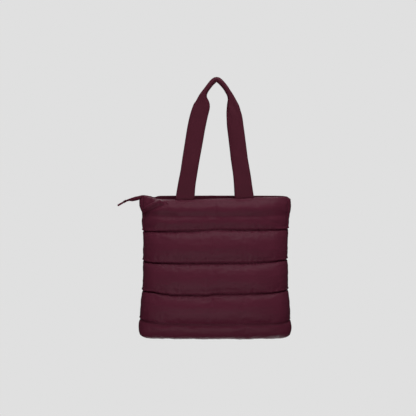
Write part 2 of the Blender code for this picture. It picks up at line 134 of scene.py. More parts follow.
# Handle, from the left end over the grip to the right end: across as a share of the spread, up as a share
# of the way from the top edge to the grip, and flat from a round grip (0) to a full strap (1)
HANDLE_COLUMNS = ("across", "up", "flat")
HANDLE = (
    (-1.056, 0.000, 1.07),
    (-1.003, 0.101, 1.00),
    (-0.931, 0.205, 0.96),
    (-0.867, 0.308, 0.98),
    (-0.772, 0.446, 1.01),
    (-0.680, 0.584, 1.03),
    (-0.590, 0.688, 1.01),
    (-0.510, 0.756, 0.95),
    (-0.476, 0.791, 0.85),
    (-0.478, 0.825, 0.50),
    (-0.452, 0.860, 0.19),
    (-0.383, 0.894, 0.02),
    (-0.286, 0.929, 0.00),
    (-0.165, 0.967, 0.00),
    (0.000, 1.000, 0.03),
    (0.168, 0.968, 0.00),
    (0.299, 0.929, 0.00),
    (0.384, 0.894, 0.00),
    (0.469, 0.860, 0.05),
    (0.513, 0.825, 0.20),
    (0.527, 0.791, 0.43),
    (0.558, 0.756, 0.61),
    (0.600, 0.688, 0.80),
    (0.644, 0.584, 0.92),
    (0.714, 0.446, 0.93),
    (0.782, 0.308, 0.94),
    (0.867, 0.170, 0.98),
    (0.935, 0.000, 1.09),
)

# Zip tail, from inside the mouth out past the left corner: along and down as shares of its length,
# height and depth as shares of its largest, and how far its fold has turned, in degrees
TAIL_COLUMNS = ("along", "down", "height", "depth", "turn")
TAIL = (
    (0.00, 0.100, 0.38, 0.62, 0),
    (0.20, 0.036, 0.62, 0.86, 10),
    (0.38, 0.036, 0.78, 0.90, 20),
    (0.52, 0.066, 0.78, 0.92, 28),
    (0.66, 0.103, 0.87, 1.00, 20),
    (0.78, 0.135, 0.76, 0.90, 0),
    (0.90, 0.152, 0.50, 0.70, -15),
    (1.00, 0.182, 0.42, 0.52, -20),
)

# How strongly each quilt seam is drawn in: across from the left seam (-1) to the right one (1)
DRAWN_COLUMNS = ("across", "seam1", "seam2", "seam3", "seam4")
SEAMS_DRAWN = (
    (-1.00, 2.00, 2.10, 2.60, 1.70),
    (-0.90, 1.90, 2.00, 2.50, 1.00),
    (-0.78, 1.60, 1.70, 2.00, 0.45),
    (-0.50, 1.10, 1.40, 1.20, 0.35),
    (-0.15, 0.70, 1.20, 1.00, 0.35),
    (0.00, 0.50, 1.20, 1.10, 0.35),
    (0.40, 1.00, 0.90, 1.00, 0.35),
    (0.75, 0.80, 1.10, 1.20, 0.35),
    (0.88, 1.60, 1.60, 1.70, 0.60),
    (1.00, 1.90, 1.70, 1.80, 0.90),
)

# Creases pressed into the cloth: ends as across and down shares, breadth and depth in metres, and how far
# the cloth above the crease laps over it, as a share of the depth
CREASE_COLUMNS = ("x1", "down1", "x2", "down2", "breadth", "deep", "lap")
FRONT_CREASES = (
    (-0.99, 0.128, -0.74, 0.055, 0.0040, 0.0070, 1.10),
    (-0.82, 0.088, -0.66, 0.050, 0.0032, 0.0030, 0.80),
    (-0.98, 0.134, -0.55, 0.134, 0.0080, 0.0052, 0.35),
    (-0.65, 0.136, 0.00, 0.138, 0.0120, 0.0072, 0.25),
    (-0.05, 0.138, 0.97, 0.136, 0.0120, 0.0066, 0.25),
    (0.60, 0.165, 0.93, 0.195, 0.0080, 0.0018, 0.20),
)
BACK_CREASES = (
    (-0.99, 0.130, -0.80, 0.060, 0.0055, 0.0050, 0.60),
    (-0.98, 0.138, -0.70, 0.122, 0.0070, 0.0035, 0.20),
    (-0.70, 0.134, 0.10, 0.138, 0.0120, 0.0050, 0.25),
    (0.05, 0.138, 0.97, 0.135, 0.0115, 0.0046, 0.25),
)

# Cloth finishes: roughness, specular level and sheen, then thread to thread and crinkle in metres
FINISH_COLUMNS = ("kind", "roughness", "specular", "sheen", "thread", "crinkle")
FINISHES = (
    ("nylon", 0.42, 0.10, 0.01, 0.0005, 0.0008),
    ("strap", 0.52, 0.09, 0.01, 0.0005, 0.0006),
    ("facing", 0.60, 0.06, 0.00, 0.0005, 0.0004),
    ("tape", 0.78, 0.08, 0.03, 0.0008, 0.0002),
    ("thread", 0.60, 0.25, 0.10, 0.0003, 0.0001),
)
SHEEN_TINT = (0.55, 0.25, 0.33)


def length_setting(name, description, default):
    """A length in the sidebar, in metres."""
    return FloatProperty(name=name, description=description, default=default, unit="LENGTH")


def colour_setting(name, description, default):
    """A colour in the sidebar, in linear light."""
    return FloatVectorProperty(name=name, description=description, default=default, subtype="COLOR", size=3)


class ToteBody(PropertyGroup):
    """Sizes of the quilted body."""
    shift: length_setting("Shift", "Centre line of the body, seen from the hang point", -0.004)
    edge_drop: length_setting("Edge Drop", "Hang point down to the back top edge", 0.295)
    height: length_setting("Height", "Back top edge down to the bottom seam", 0.366)
    half_width: length_setting("Half Width", "Centre line to the side wall at the widest", 0.1935)
    half_depth: length_setting("Half Depth", "Seam plane to the wall at the deepest", 0.053)
    corner: length_setting("Bottom Corner", "Radius of the bottom corners", 0.010)
    wall: length_setting("Wall", "Cloth at a quilt seam", 0.0024)
    puff: length_setting("Puff", "How far a channel stands out from its seams", 0.0125)
    lining_puff: length_setting("Lining Puff", "How far a channel stands in", 0.0035)
    dip: length_setting("Corner Dip", "How far the top edge drops at the left corner", 0.010)
    sag: length_setting("Seam Sag", "How far a quilt seam hangs below its nominal place", 0.0055)
    pucker: length_setting("Pucker", "Height of the gathers along a seam", 0.0011)


class ToteStraps(PropertyGroup):
    """Sizes of the two handles."""
    spread: length_setting("Spread", "Hang point to the middle of a leg at the top edge", 0.0765)
    width: length_setting("Width", "Width of the flat strap", 0.046)
    thick: length_setting("Thickness", "Thickness of the padded strap", 0.011)
    grip: length_setting("Grip", "Thickness of the rolled grip", 0.0135)
    sewn_thick: length_setting("Sewn End", "Thickness of the end that is sewn in", 0.004)
    sewn_length: length_setting("Sewn Length", "Length of the end that is sewn in", 0.022)


class ToteZip(PropertyGroup):
    """Sizes of the zip."""
    tape_width: length_setting("Tape Width", "Width of one tape", 0.010)
    tape_thick: length_setting("Tape Thickness", "Thickness of the woven tape", 0.0009)
    teeth: length_setting("Teeth", "Width of the row of teeth", 0.0026)
    pitch: length_setting("Pitch", "Tooth to tooth", 0.0021)
    tail_length: length_setting("Tail Length", "Length of the cloth sleeve at the end", 0.066)
    tail_height: length_setting("Tail Height", "Largest height of the sleeve", 0.013)
    tail_depth: length_setting("Tail Depth", "Largest depth of the sleeve", 0.012)
    pull_slope: FloatProperty(name="Pull Slope", description="Angle of the slider and the pull below level",
                              default=math.radians(30.0), subtype="ANGLE")


class ToteStitches(PropertyGroup):
    """Sizes of the thread."""
    length: length_setting("Stitch Length", "Visible length of one stitch", 0.0027)
    pitch: length_setting("Stitch Pitch", "Stitch to stitch", 0.0036)
    thick: length_setting("Thread", "Thickness of the thread", 0.0006)


class ToteCloth(PropertyGroup):
    """How the panels are blown up by the cloth simulation."""
    columns: IntProperty(name="Columns", description="Quads across a panel", default=128, min=16)
    frames: IntProperty(name="Frames", description="Length of the simulation", default=20, min=2)
    pressure: FloatProperty(name="Pressure", description="Air pressure inside a channel", default=4.0)
    excess: FloatProperty(name="Excess", description="How much longer the shell is cut than its seams",
                          default=0.008, subtype="FACTOR")
    cap: length_setting("Cap", "Furthest that the cloth may move", 0.004)


class ToteColours(PropertyGroup):
    """Colours of the bag and of the room."""
    nylon: colour_setting("Nylon", "Quilted shell", (0.100, 0.0165, 0.0340))
    strap: colour_setting("Strap", "Strap nylon", (0.088, 0.0155, 0.0290))
    facing: colour_setting("Facing", "Inside of the bag, and the zip's sleeve", (0.084, 0.0120, 0.0255))
    tape: colour_setting("Zip Tape", "Woven zip tape", (0.125, 0.0200, 0.0400))
    thread: colour_setting("Thread", "Sewing thread", (0.028, 0.0060, 0.0105))
    lacquer: colour_setting("Lacquer", "Zip slider", (0.060, 0.0110, 0.0190))
    room: colour_setting("Room", "Floor and background", (0.745, 0.745, 0.745))


class ToteStage(PropertyGroup):
    """Camera and light."""
    distance: length_setting("Distance", "Camera to the bag", 2.2)
    elevation: FloatProperty(name="Elevation", description="Camera above the horizon",
                             default=math.radians(3.0), subtype="ANGLE")
    floor: length_setting("Floor", "Height of the floor", -1.75)
    key: FloatProperty(name="Key Light", description="Power of the soft light above", default=26.0)
    fill: FloatProperty(name="Fill Light", description="Power of the soft light low in front", default=13.0)
    front: FloatProperty(name="Front Light", description="Strength of the room's light from the front",
                         default=0.15)
    rear: FloatProperty(name="Rear Light", description="Strength of the room's light from behind",
                        default=0.10)
    below: FloatProperty(name="Light From Below", description="Share of the room's light that is left below",
                         default=0.18, subtype="FACTOR")


def table(columns, rows):
    """The rows of a table as dictionaries under their column names."""
    return [dict(zip(columns, row)) for row in rows]


SECTION_ROWS = table(SECTION_COLUMNS, SECTIONS)
CHANNEL_ROWS = table(CHANNEL_COLUMNS, CHANNELS)
EDGE_ROWS = table(EDGE_COLUMNS, EDGES)
SAG_ROWS = table(SAG_COLUMNS, SEAM_SAGS)
DRAWN_ROWS = table(DRAWN_COLUMNS, SEAMS_DRAWN)
HANDLE_ROWS = table(HANDLE_COLUMNS, HANDLE)
TAIL_ROWS = table(TAIL_COLUMNS, TAIL)
FINISH_ROWS = {row["kind"]: row for row in table(FINISH_COLUMNS, FINISHES)}
ROLL_TOP = CHANNEL_ROWS[-1]["top"]
SEAMS = [row["bottom"] for row in CHANNEL_ROWS[:-1]]


def along(rows, key, place, value):
    """A column's value at a place, on a smooth curve through the rows that never overshoots them."""
    xs = [row[key] for row in rows]
    ys = [row[value] for row in rows]
    if place <= xs[0]:
        return ys[0]
    if place >= xs[-1]:
        return ys[-1]
    slopes = [(ys[i + 1] - ys[i]) / (xs[i + 1] - xs[i]) for i in range(len(xs) - 1)]

    def tangent(i):
        if i == 0 or i == len(xs) - 1:
            return slopes[0] if i == 0 else slopes[-1]
        before, after = slopes[i - 1], slopes[i]
        if before * after <= 0.0:
            return 0.0
        return 2.0 * before * after / (before + after)

    i = max(n for n in range(len(xs) - 1) if xs[n] <= place)
    step = xs[i + 1] - xs[i]
    t = (place - xs[i]) / step
    return (ys[i] * (2 * t**3 - 3 * t**2 + 1)
            + tangent(i) * step * (t**3 - 2 * t**2 + t)
            + ys[i + 1] * (3 * t**2 - 2 * t**3)
            + tangent(i + 1) * step * (t**3 - t**2))


def clamp(value, low=0.0, high=1.0):
    """A value held between two others."""
    return min(max(value, low), high)


def smooth(value):
    """A soft step from 0 to 1."""
    value = clamp(value)
    return value * value * (3.0 - 2.0 * value)


def bell(apart, breadth):
    """A soft bump: 1 where apart is 0, and nearly gone at twice the breadth."""
    return math.exp(-(apart / breadth)**2)


def wobble(x, y=0.0, z=0.0):
    """Smooth noise from -1 to 1."""
    return noise.noise(Vector((x, y, z)))


def outward(panel):
    """Sign of the direction that a panel faces, along Y."""
    return -1.0 if panel == "front" else 1.0


def hide_all_selection():
    """Leave edit mode and deselect everything."""
    if bpy.context.object and bpy.context.object.mode != "OBJECT":
        bpy.ops.object.mode_set(mode="OBJECT")
    bpy.ops.object.select_all(action="DESELECT")


def use(item):
    """Make one object the only selected one, and active."""
    hide_all_selection()
    item.select_set(True)
    bpy.context.view_layer.objects.active = item


def subdivide_surface(item):
    """Round a piece with one level of subdivision."""
    use(item)
    modifier = item.modifiers.new("Round", "SUBSURF")
    modifier.levels = 1
    modifier.render_levels = 1
    bpy.ops.object.modifier_apply(modifier=modifier.name)


def cut_upright_edges(item, cuts):
    """Subdivide the edges that run along Z on a piece in edit mode, and leave edit mode."""
    bpy.ops.mesh.select_all(action="DESELECT")
    work = bmesh.from_edit_mesh(item.data)
    for edge in work.edges:
        edge.select = abs(edge.verts[0].co.z - edge.verts[1].co.z) > 0.5
    bmesh.update_edit_mesh(item.data)
    bpy.ops.mesh.subdivide(number_cuts=cuts)
    bpy.ops.object.mode_set(mode="OBJECT")


def slab(name, columns, rows):
    """A closed slab from a grid: across and down run from 0 to 1, and up is 0 inside and 1 outside."""
    hide_all_selection()
    bpy.ops.mesh.primitive_grid_add(x_subdivisions=columns, y_subdivisions=rows, size=1.0,
                                    location=(0.5, 0.5, 0.0))
    item = bpy.context.object
    item.name = name
    bpy.ops.object.transform_apply(location=True)
    bpy.ops.object.mode_set(mode="EDIT")
    bpy.ops.mesh.select_all(action="SELECT")
    bpy.ops.mesh.extrude_region_move(TRANSFORM_OT_translate={"value": (0.0, 0.0, 1.0)})
    cut_upright_edges(item, 1)
    return item


def tube(name, sides, rings):
    """A closed tube from a cylinder: its rings run from 0 to 1 along Z."""
    hide_all_selection()
    bpy.ops.mesh.primitive_cylinder_add(vertices=sides, radius=1.0, depth=1.0, location=(0.0, 0.0, 0.5))
    item = bpy.context.object
    item.name = name
    bpy.ops.object.transform_apply(location=True)
    bpy.ops.object.mode_set(mode="EDIT")
    cut_upright_edges(item, rings - 2)
    return item


def set_cloth_map(item, places):
    """Write a UV map in metres, and the same places as a point attribute."""
    mesh = item.data
    spots = mesh.attributes.new("cloth", "FLOAT_VECTOR", "POINT")
    for i, place in enumerate(places):
        spots.data[i].vector = place
    layer = mesh.uv_layers.active or mesh.uv_layers.new()
    layer.name = "Cloth"
    for loop in mesh.loops:
        layer.data[loop.index].uv = places[loop.vertex_index][:2]


def face_out(item):
    """Turn the faces of a closed piece outwards."""
    use(item)
    bpy.ops.object.mode_set(mode="EDIT")
    bpy.ops.mesh.select_all(action="SELECT")
    bpy.ops.mesh.normals_make_consistent(inside=False)
    bpy.ops.object.mode_set(mode="OBJECT")


def finish_piece(item, slot, materials, *nodes, fill=None, sharp=None):
    """Shade a piece, give it its materials and tie it to the frame."""
    use(item)
    if sharp is None:
        bpy.ops.object.shade_smooth()
    else:
        bpy.ops.object.shade_smooth_by_angle(angle=math.radians(sharp))
    kept = [polygon.material_index for polygon in item.data.polygons]
    item.data.materials.clear()
    for made in materials:
        item.data.materials.append(made)
    for polygon, index in zip(item.data.polygons, kept):
        polygon.material_index = min(index, len(materials) - 1)
    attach(item, ROOT)
    if nodes:
        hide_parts(*nodes)


# Shape of the body

def half_width(body, down, side):
    """Centre line to the middle of the side wall; side is 'left' or 'right'."""
    below = down * body.height - (body.height - body.corner)
    inset = body.corner - math.sqrt(max(body.corner**2 - below**2, 0.0)) if below > 0.0 else 0.0
    return body.half_width * along(SECTION_ROWS, "down", down, side) - inset


def half_depth(body, down):
    """Seam plane to the middle of the wall, closing where the last channel rolls under."""
    depth = body.half_depth * along(SECTION_ROWS, "down", down, "depth")
    if down > ROLL_TOP:
        depth *= math.sqrt(max(1.0 - ((down - ROLL_TOP) / (1.0 - ROLL_TOP))**2, 0.0))
    return depth


def side_of(across):
    """The side of the body that a place across it is on."""
    return "left" if across < 0.0 else "right"


def depth_share(across, down):
    """Depth of a section at a share across it, as a share of its own depth."""
    square = along(SECTION_ROWS, "down", down, "square")
    return max(1.0 - abs(across)**square, 0.0)**(1.0 / square)


def edge_fall(body, across, panel):
    """Drop of a panel's top edge at a share across it."""
    return body.dip * along(EDGE_ROWS, "across", across, panel)


def seam_sag(body, across, down):
    """How far the cloth hangs below its nominal place, from the sags of the seams above and below it."""
    stops = [(0.0, 0.0)]
    for number, seam in enumerate(SEAMS, 1):
        stops.append((seam, body.sag * along(SAG_ROWS, "across", across, "seam" + str(number))))
    stops.append((1.0, 0.0))
    for (top, above), (bottom, below) in zip(stops, stops[1:]):
        if down <= bottom:
            return above + (below - above) * (down - top) / (bottom - top)
    return 0.0


def wall_place(body, across, down, panel):
    """Point in the middle of a panel's wall."""
    fade = max(1.0 - down / CHANNEL_ROWS[0]["bottom"], 0.0)**2
    down += (edge_fall(body, across, panel) * fade + seam_sag(body, across, down)) / body.height
    x = body.shift + across * half_width(body, down, side_of(across))
    y = outward(panel) * (SEAM_CLOSED / 2 + half_depth(body, down) * depth_share(across, down))
    return Vector((x, y, -body.edge_drop - down * body.height))


def even_shares(body, down, columns, fine=360):
    """Shares across a section that part it into equal lengths of cloth, and its whole length."""
    power = 2.0 / along(SECTION_ROWS, "down", down, "square")
    deep = half_depth(body, down)
    shares, lengths = [], [0.0]
    before = None
    for i in range(fine + 1):
        turn = math.pi * (1.0 - i / fine)
        share = math.copysign(abs(math.cos(turn))**power, math.cos(turn))
        depth = deep * max(math.sin(turn), 0.0)**power
        spot = Vector((share * half_width(body, down, side_of(share)), depth))
        if before is not None:
            lengths.append(lengths[-1] + (spot - before).length)
        before = spot
        shares.append(share)
    result, i = [], 0
    for column in range(columns + 1):
        target = lengths[-1] * column / columns
        while i < fine - 1 and lengths[i + 1] < target:
            i += 1
        part = clamp((target - lengths[i]) / max(lengths[i + 1] - lengths[i], 1e-9))
        result.append(shares[i] + (shares[i + 1] - shares[i]) * part)
    return result, lengths[-1]


def cloth_rows():
    """Every row of a panel: its share of the height, its channel and its place in that channel.

    The rows crowd towards the seams, where the cloth turns in.
    """
    ease = 0.45
    rows = []
    for number, channel in enumerate(CHANNEL_ROWS):
        count = channel["rows"]
        for step in range(0 if number == 0 else 1, count + 1):
            place = step / count
            if channel is CHANNEL_ROWS[-1]:
                share = math.sin(place * math.pi / 2)
            else:
                place -= ease * math.sin(2 * math.pi * place) / (2 * math.pi)
                share = place
            down = channel["top"] + (channel["bottom"] - channel["top"]) * share
            rows.append((down, channel, place))
    return rows


def channel_swell(channel, place, reach, seed):
    """Puff of a channel as a share, at a place down it and a length of cloth from its left seam."""
    low = place**0.93
    crown = max(1.0 - abs(2.0 * low - 1.0)**2.2, 0.0)**0.5
    uneven = 1.0 + 0.07 * wobble(reach * 14.0, channel["top"] * 31.0, seed)
    return channel["puff"] * crown * uneven


def panel_grid(body, panel, columns):
    """Middle of a panel's wall, its normals and its places on the flat cloth."""
    rows = cloth_rows()
    out = outward(panel)
    middle, flat = [], []
    for down, _, _ in rows:
        shares, length = even_shares(body, down, columns)
        middle.append([wall_place(body, share, down, panel) for share in shares])
        flat.append([(length * c / columns, length) for c in range(columns + 1)])
    normals = []
    for r in range(len(rows)):
        line = []
        for c in range(columns + 1):
            if r == len(rows) - 1:
                line.append(Vector((0.0, 0.0, -1.0)))
                continue
            fall = middle[r + 1][c] - middle[max(r - 1, 0)][c]
            if c in (0, columns):
                normal = Vector((-fall.z, 0.0, fall.x)) * (-1.0 if c == 0 else 1.0)
            else:
                normal = (middle[r][c + 1] - middle[r][c - 1]).cross(fall)
                if normal.y * out < 0.0:
                    normal.negate()
            line.append(normal.normalized())
        normals.append(line)
    return rows, middle, normals, flat


def blow_up(item, cloth, sewn):
    """Let air pressure fill the channels between the sewn points, and keep the shape it takes.

    The cloth may move less on the last channel, where it rolls under to the bottom seam.
    """
    roll_start, roll_fade, roll_hold = 0.86, 0.1, 0.6
    mesh = item.data
    start = [vertex.co.copy() for vertex in mesh.vertices]
    use(item)
    group = item.vertex_groups.new(name="sewn")
    group.add(sewn, 1.0, "REPLACE")
    modifier = item.modifiers.new("Air", "CLOTH")
    settings = modifier.settings
    settings.quality = 5
    settings.mass = 0.15
    settings.tension_stiffness = 20.0
    settings.compression_stiffness = 20.0
    settings.shear_stiffness = 8.0
    settings.bending_stiffness = 0.15
    settings.air_damping = 2.0
    settings.vertex_group_mass = group.name
    settings.use_pressure = True
    settings.uniform_pressure_force = cloth.pressure
    settings.shrink_min = -cloth.excess
    settings.effector_weights.gravity = 0.0
    scene = bpy.context.scene
    for number in range(1, cloth.frames + 1):
        scene.frame_set(number)
    bpy.ops.object.modifier_apply(modifier=modifier.name)
    scene.frame_set(1)
    spots = mesh.attributes["cloth"].data
    for vertex, before in zip(mesh.vertices, start):
        move = vertex.co - before
        down = spots[vertex.index].vector.y
        cap = cloth.cap * (1.0 - roll_hold * smooth((down - roll_start) / roll_fade))
        if move.length > cap:
            vertex.co = before + move.normalized() * cap
    item.vertex_groups.clear()


def crease_depth(body, spot, edge, creases):
    """How far the creases press the cloth in at a place, in metres across, down and from the side seam."""
    tip, sharp, lap_place, lap_fade = 0.35, 1.3, 1.7, 0.03
    total = 0.0
    for crease in creases:
        start = Vector((crease["x1"] * body.half_width, crease["down1"] * body.height))
        end = Vector((crease["x2"] * body.half_width, crease["down2"] * body.height))
        way = end - start
        share = clamp((spot - start).dot(way) / way.length_squared)
        apart = spot - start - way * share
        ends = tip + (1.0 - tip) * math.sin(math.pi * clamp(share, 0.02, 0.98))**0.5
        near = apart.length / crease["breadth"]
        total += crease["deep"] * ends * math.exp(-near**sharp)
        if apart.y < 0.0:
            lap = crease["lap"] * ends * bell(near - lap_place, 1.0)
            total -= crease["deep"] * lap * smooth(edge / lap_fade)
    return total


def pucker_height(body, reach, apart, line, seed):
    """Height of the gathers beside a seam: short ridges that run out into the channel."""
    strength = 0.45 + 0.75 * max(wobble(reach * 9.0, line * 3.7, seed), -0.4)
    ridge = wobble(reach * 95.0 + 0.6 * wobble(reach * 40.0, line, seed), line * 5.1, seed + 3.0)
    ridge += 0.6 * wobble(reach * 190.0, line * 2.3, seed + 9.0)
    mean_length, uneven_length, start = 0.011, 0.006, 0.0022
    length = mean_length + uneven_length * wobble(reach * 30.0, line * 1.9, seed + 5.0)
    return body.pucker * 2.0 * strength * ridge * smooth(apart / start) * math.exp(-apart / length)


def strap_press(straps, x):
    """How much of a strap's width bears on the top edge at a place, from 0 to 1."""
    reach, fade = 0.004, 0.008
    ends = (HANDLE_ROWS[0]["across"] * straps.spread, HANDLE_ROWS[-1]["across"] * straps.spread)
    return max(smooth((straps.width / 2 + reach - abs(x - end)) / fade) for end in ends)


def dress_panel(item, body, panel, creases):
    """Seams drawn in, gathers, creases and soft dents, on the finished cloth."""
    press_out, press_down, press_height = 0.0012, 0.0016, 0.009
    groove, groove_breadth = 0.0014, 0.0014
    lip, lip_place, lip_breadth = 0.0010, 0.0040, 0.0022
    side_groove, side_breadth = 0.0017, 0.0016
    wide_dent, small_dent = 0.0007, 0.0004
    top_gathers, bottom_gathers = 0.35, 0.55
    mesh = item.data
    straps = bpy.context.scene.tote_straps
    seed = 2.0 if panel == "front" else 17.0
    spots, edges = mesh.attributes["cloth"].data, mesh.attributes["side"].data
    seam_rows = [0.0] + SEAMS + [1.0]
    moves = []
    for vertex in mesh.vertices:
        reach, down, skin = spots[vertex.index].vector
        pressed = strap_press(straps, vertex.co.x) * bell(down * body.height, press_height)
        move = Vector((0.0, outward(panel) * press_out, -press_down)) * pressed
        if skin < 0.75:
            moves.append(move)
            continue
        spot = Vector((vertex.co.x - body.shift, -body.edge_drop - vertex.co.z))
        line = min(range(len(seam_rows)), key=lambda n: abs(seam_rows[n] - down))
        apart = abs(seam_rows[line] - down) * body.height
        gathered = top_gathers if line == 0 else bottom_gathers if line > len(SEAMS) else 1.0
        side = 0.5 if down > seam_rows[line] else 0.0
        height = gathered * pucker_height(body, reach, apart, line + side, seed)
        if 0 < line <= len(SEAMS):
            across = clamp(spot.x / body.half_width, -1.0, 1.0)
            drawn = along(DRAWN_ROWS, "across", across, "seam" + str(line))
            height -= groove * drawn * bell(apart, groove_breadth)
            if down < seam_rows[line]:
                height += lip * drawn * bell(apart - lip_place, lip_breadth)
        height += wide_dent * wobble(reach * 24.0, down * 30.0, seed)
        height += small_dent * wobble(reach * 60.0, down * 60.0)
        edge = edges[vertex.index].value
        height -= side_groove * bell(edge - SIDE_SEAM, side_breadth)
        height -= crease_depth(body, spot, edge, creases)
        moves.append(move + vertex.normal * height)
    for vertex, move in zip(mesh.vertices, moves):
        vertex.co += move


def build_panel(context, panel):
    """One quilted panel: shell, filling and facing as one closed piece."""
    side_swell, side_fade, roll_fade, seam_rise = 0.14, 0.055, 0.025, 0.0035
    rim_rise, seam_sharpness, cloth_run = 0.15, 0.6, 1.12
    scene = context.scene
    body, cloth = scene.tote_body, scene.tote_cloth
    columns = cloth.columns
    rows, middle, normals, flat = panel_grid(body, panel, columns)
    last = len(rows) - 1
    item = slab(panel + "_quilt", columns, last)
    mesh = item.data
    seam_rows = {r for r, (down, _, _) in enumerate(rows) if down in SEAMS}
    places, sewn = [], []
    sides = mesh.attributes.new("side", "FLOAT", "POINT")
    seed = 1.0 if panel == "front" else 11.0
    for vertex in mesh.vertices:
        c, r = round(vertex.co.x * columns), round((1.0 - vertex.co.y) * last)
        skin = vertex.co.z
        down, channel, place = rows[r]
        reach, length = flat[r][c]
        edge = min(reach, length - reach)
        fade = roll_fade if channel is CHANNEL_ROWS[-1] else side_fade
        side = side_swell + (1.0 - side_swell) * smooth(edge / fade)
        side *= 1.0 - math.exp(-edge / seam_rise)
        swell = channel_swell(channel, place, reach, seed) * side
        if skin > 0.75:
            vertex.co = middle[r][c] + normals[r][c] * (body.wall / 2 + body.puff * swell)
        elif skin < 0.25:
            puff = body.lining_puff * channel["lining"] * max(math.sin(math.pi * place), 0.0) * side
            vertex.co = middle[r][c] - normals[r][c] * (body.wall / 2 + puff)
        else:
            vertex.co = middle[r][c].copy()
            if r == 0:
                vertex.co.z += body.wall * rim_rise
        free = skin > 0.75 and 0 < c < columns and 0 < r < last and r not in seam_rows
        if not free:
            sewn.append(vertex.index)
        places.append((reach, down, skin))
        sides.data[vertex.index].value = edge
    set_cloth_map(item, places)
    layer = mesh.uv_layers.active
    for loop in mesh.loops:
        reach, down, _ = places[loop.vertex_index]
        layer.data[loop.index].uv = (reach, -down * body.height * cloth_run)
    for polygon in mesh.polygons:
        skins = [places[i][2] for i in polygon.vertices]
        polygon.material_index = 1 if max(skins) < 0.75 else 0
    face_out(item)
    blow_up(item, cloth, sewn)
    crease = mesh.attributes.new("crease_edge", "FLOAT", "EDGE")
    for edge in mesh.edges:
        a, b = (places[i] for i in edge.vertices)
        on_seam = a[1] == b[1] and a[1] in SEAMS and min(a[2], b[2]) > 0.75
        crease.data[edge.index].value = seam_sharpness if on_seam else 0.0
    subdivide_surface(item)
    dress_panel(item, body, panel, table(CREASE_COLUMNS, FRONT_CREASES if panel == "front" else BACK_CREASES))
    return item


# Shape of the handles

def sewn_depth(context, x, down):
    """Seam plane to the middle of a strap end that lies against the inside of a panel."""
    body, straps = context.scene.tote_body, context.scene.tote_straps
    share = x / half_width(body, down, side_of(x))
    deep = half_depth(body, down) * depth_share(share, down)
    return 1.5 * SEAM_GAP + deep - body.wall / 2 - SEAM_GAP - straps.sewn_thick / 2


def handle_path(context, step):
    """Places along a handle: across, height, flatness and share of the way up, with its sewn ends."""
    end_density, sewn_parts = 2.5, 14
    body, straps = context.scene.tote_body, context.scene.tote_straps
    rows = HANDLE_ROWS
    rise = straps.grip / 2 + body.edge_drop
    places = []
    for i in range(len(rows) - 1):
        a, b = rows[i], rows[i + 1]
        before, after = rows[max(i - 1, 0)], rows[min(i + 2, len(rows) - 1)]
        length = math.hypot((b["across"] - a["across"]) * straps.spread, (b["up"] - a["up"]) * rise)
        steps = max(round(length / step * (end_density if i in (0, len(rows) - 2) else 1.0)), 1)
        for n in range(steps + (1 if i == len(rows) - 2 else 0)):
            t = n / steps
            spot = []
            for key in HANDLE_COLUMNS:
                spot.append(0.5 * (2 * a[key] + (b[key] - before[key]) * t
                                   + (2 * before[key] - 5 * a[key] + 4 * b[key] - after[key]) * t**2
                                   + (3 * a[key] - before[key] - 3 * b[key] + after[key]) * t**3))
            across, up, flat = spot
            places.append((across * straps.spread, up * rise - body.edge_drop, flat, up))
    for end in (0, -1):
        x, z, flat, _ = places[end]
        next_x, next_z = places[1 if end == 0 else -2][:2]
        lean = (next_x - x) * straps.sewn_length / (next_z - z)
        parts = [(n + 1) / sewn_parts for n in range(sewn_parts)]
        tail = [(x - lean * part, z - straps.sewn_length * part, flat, -part) for part in parts]
        places = tail[::-1] + places if end == 0 else places + tail
    return places


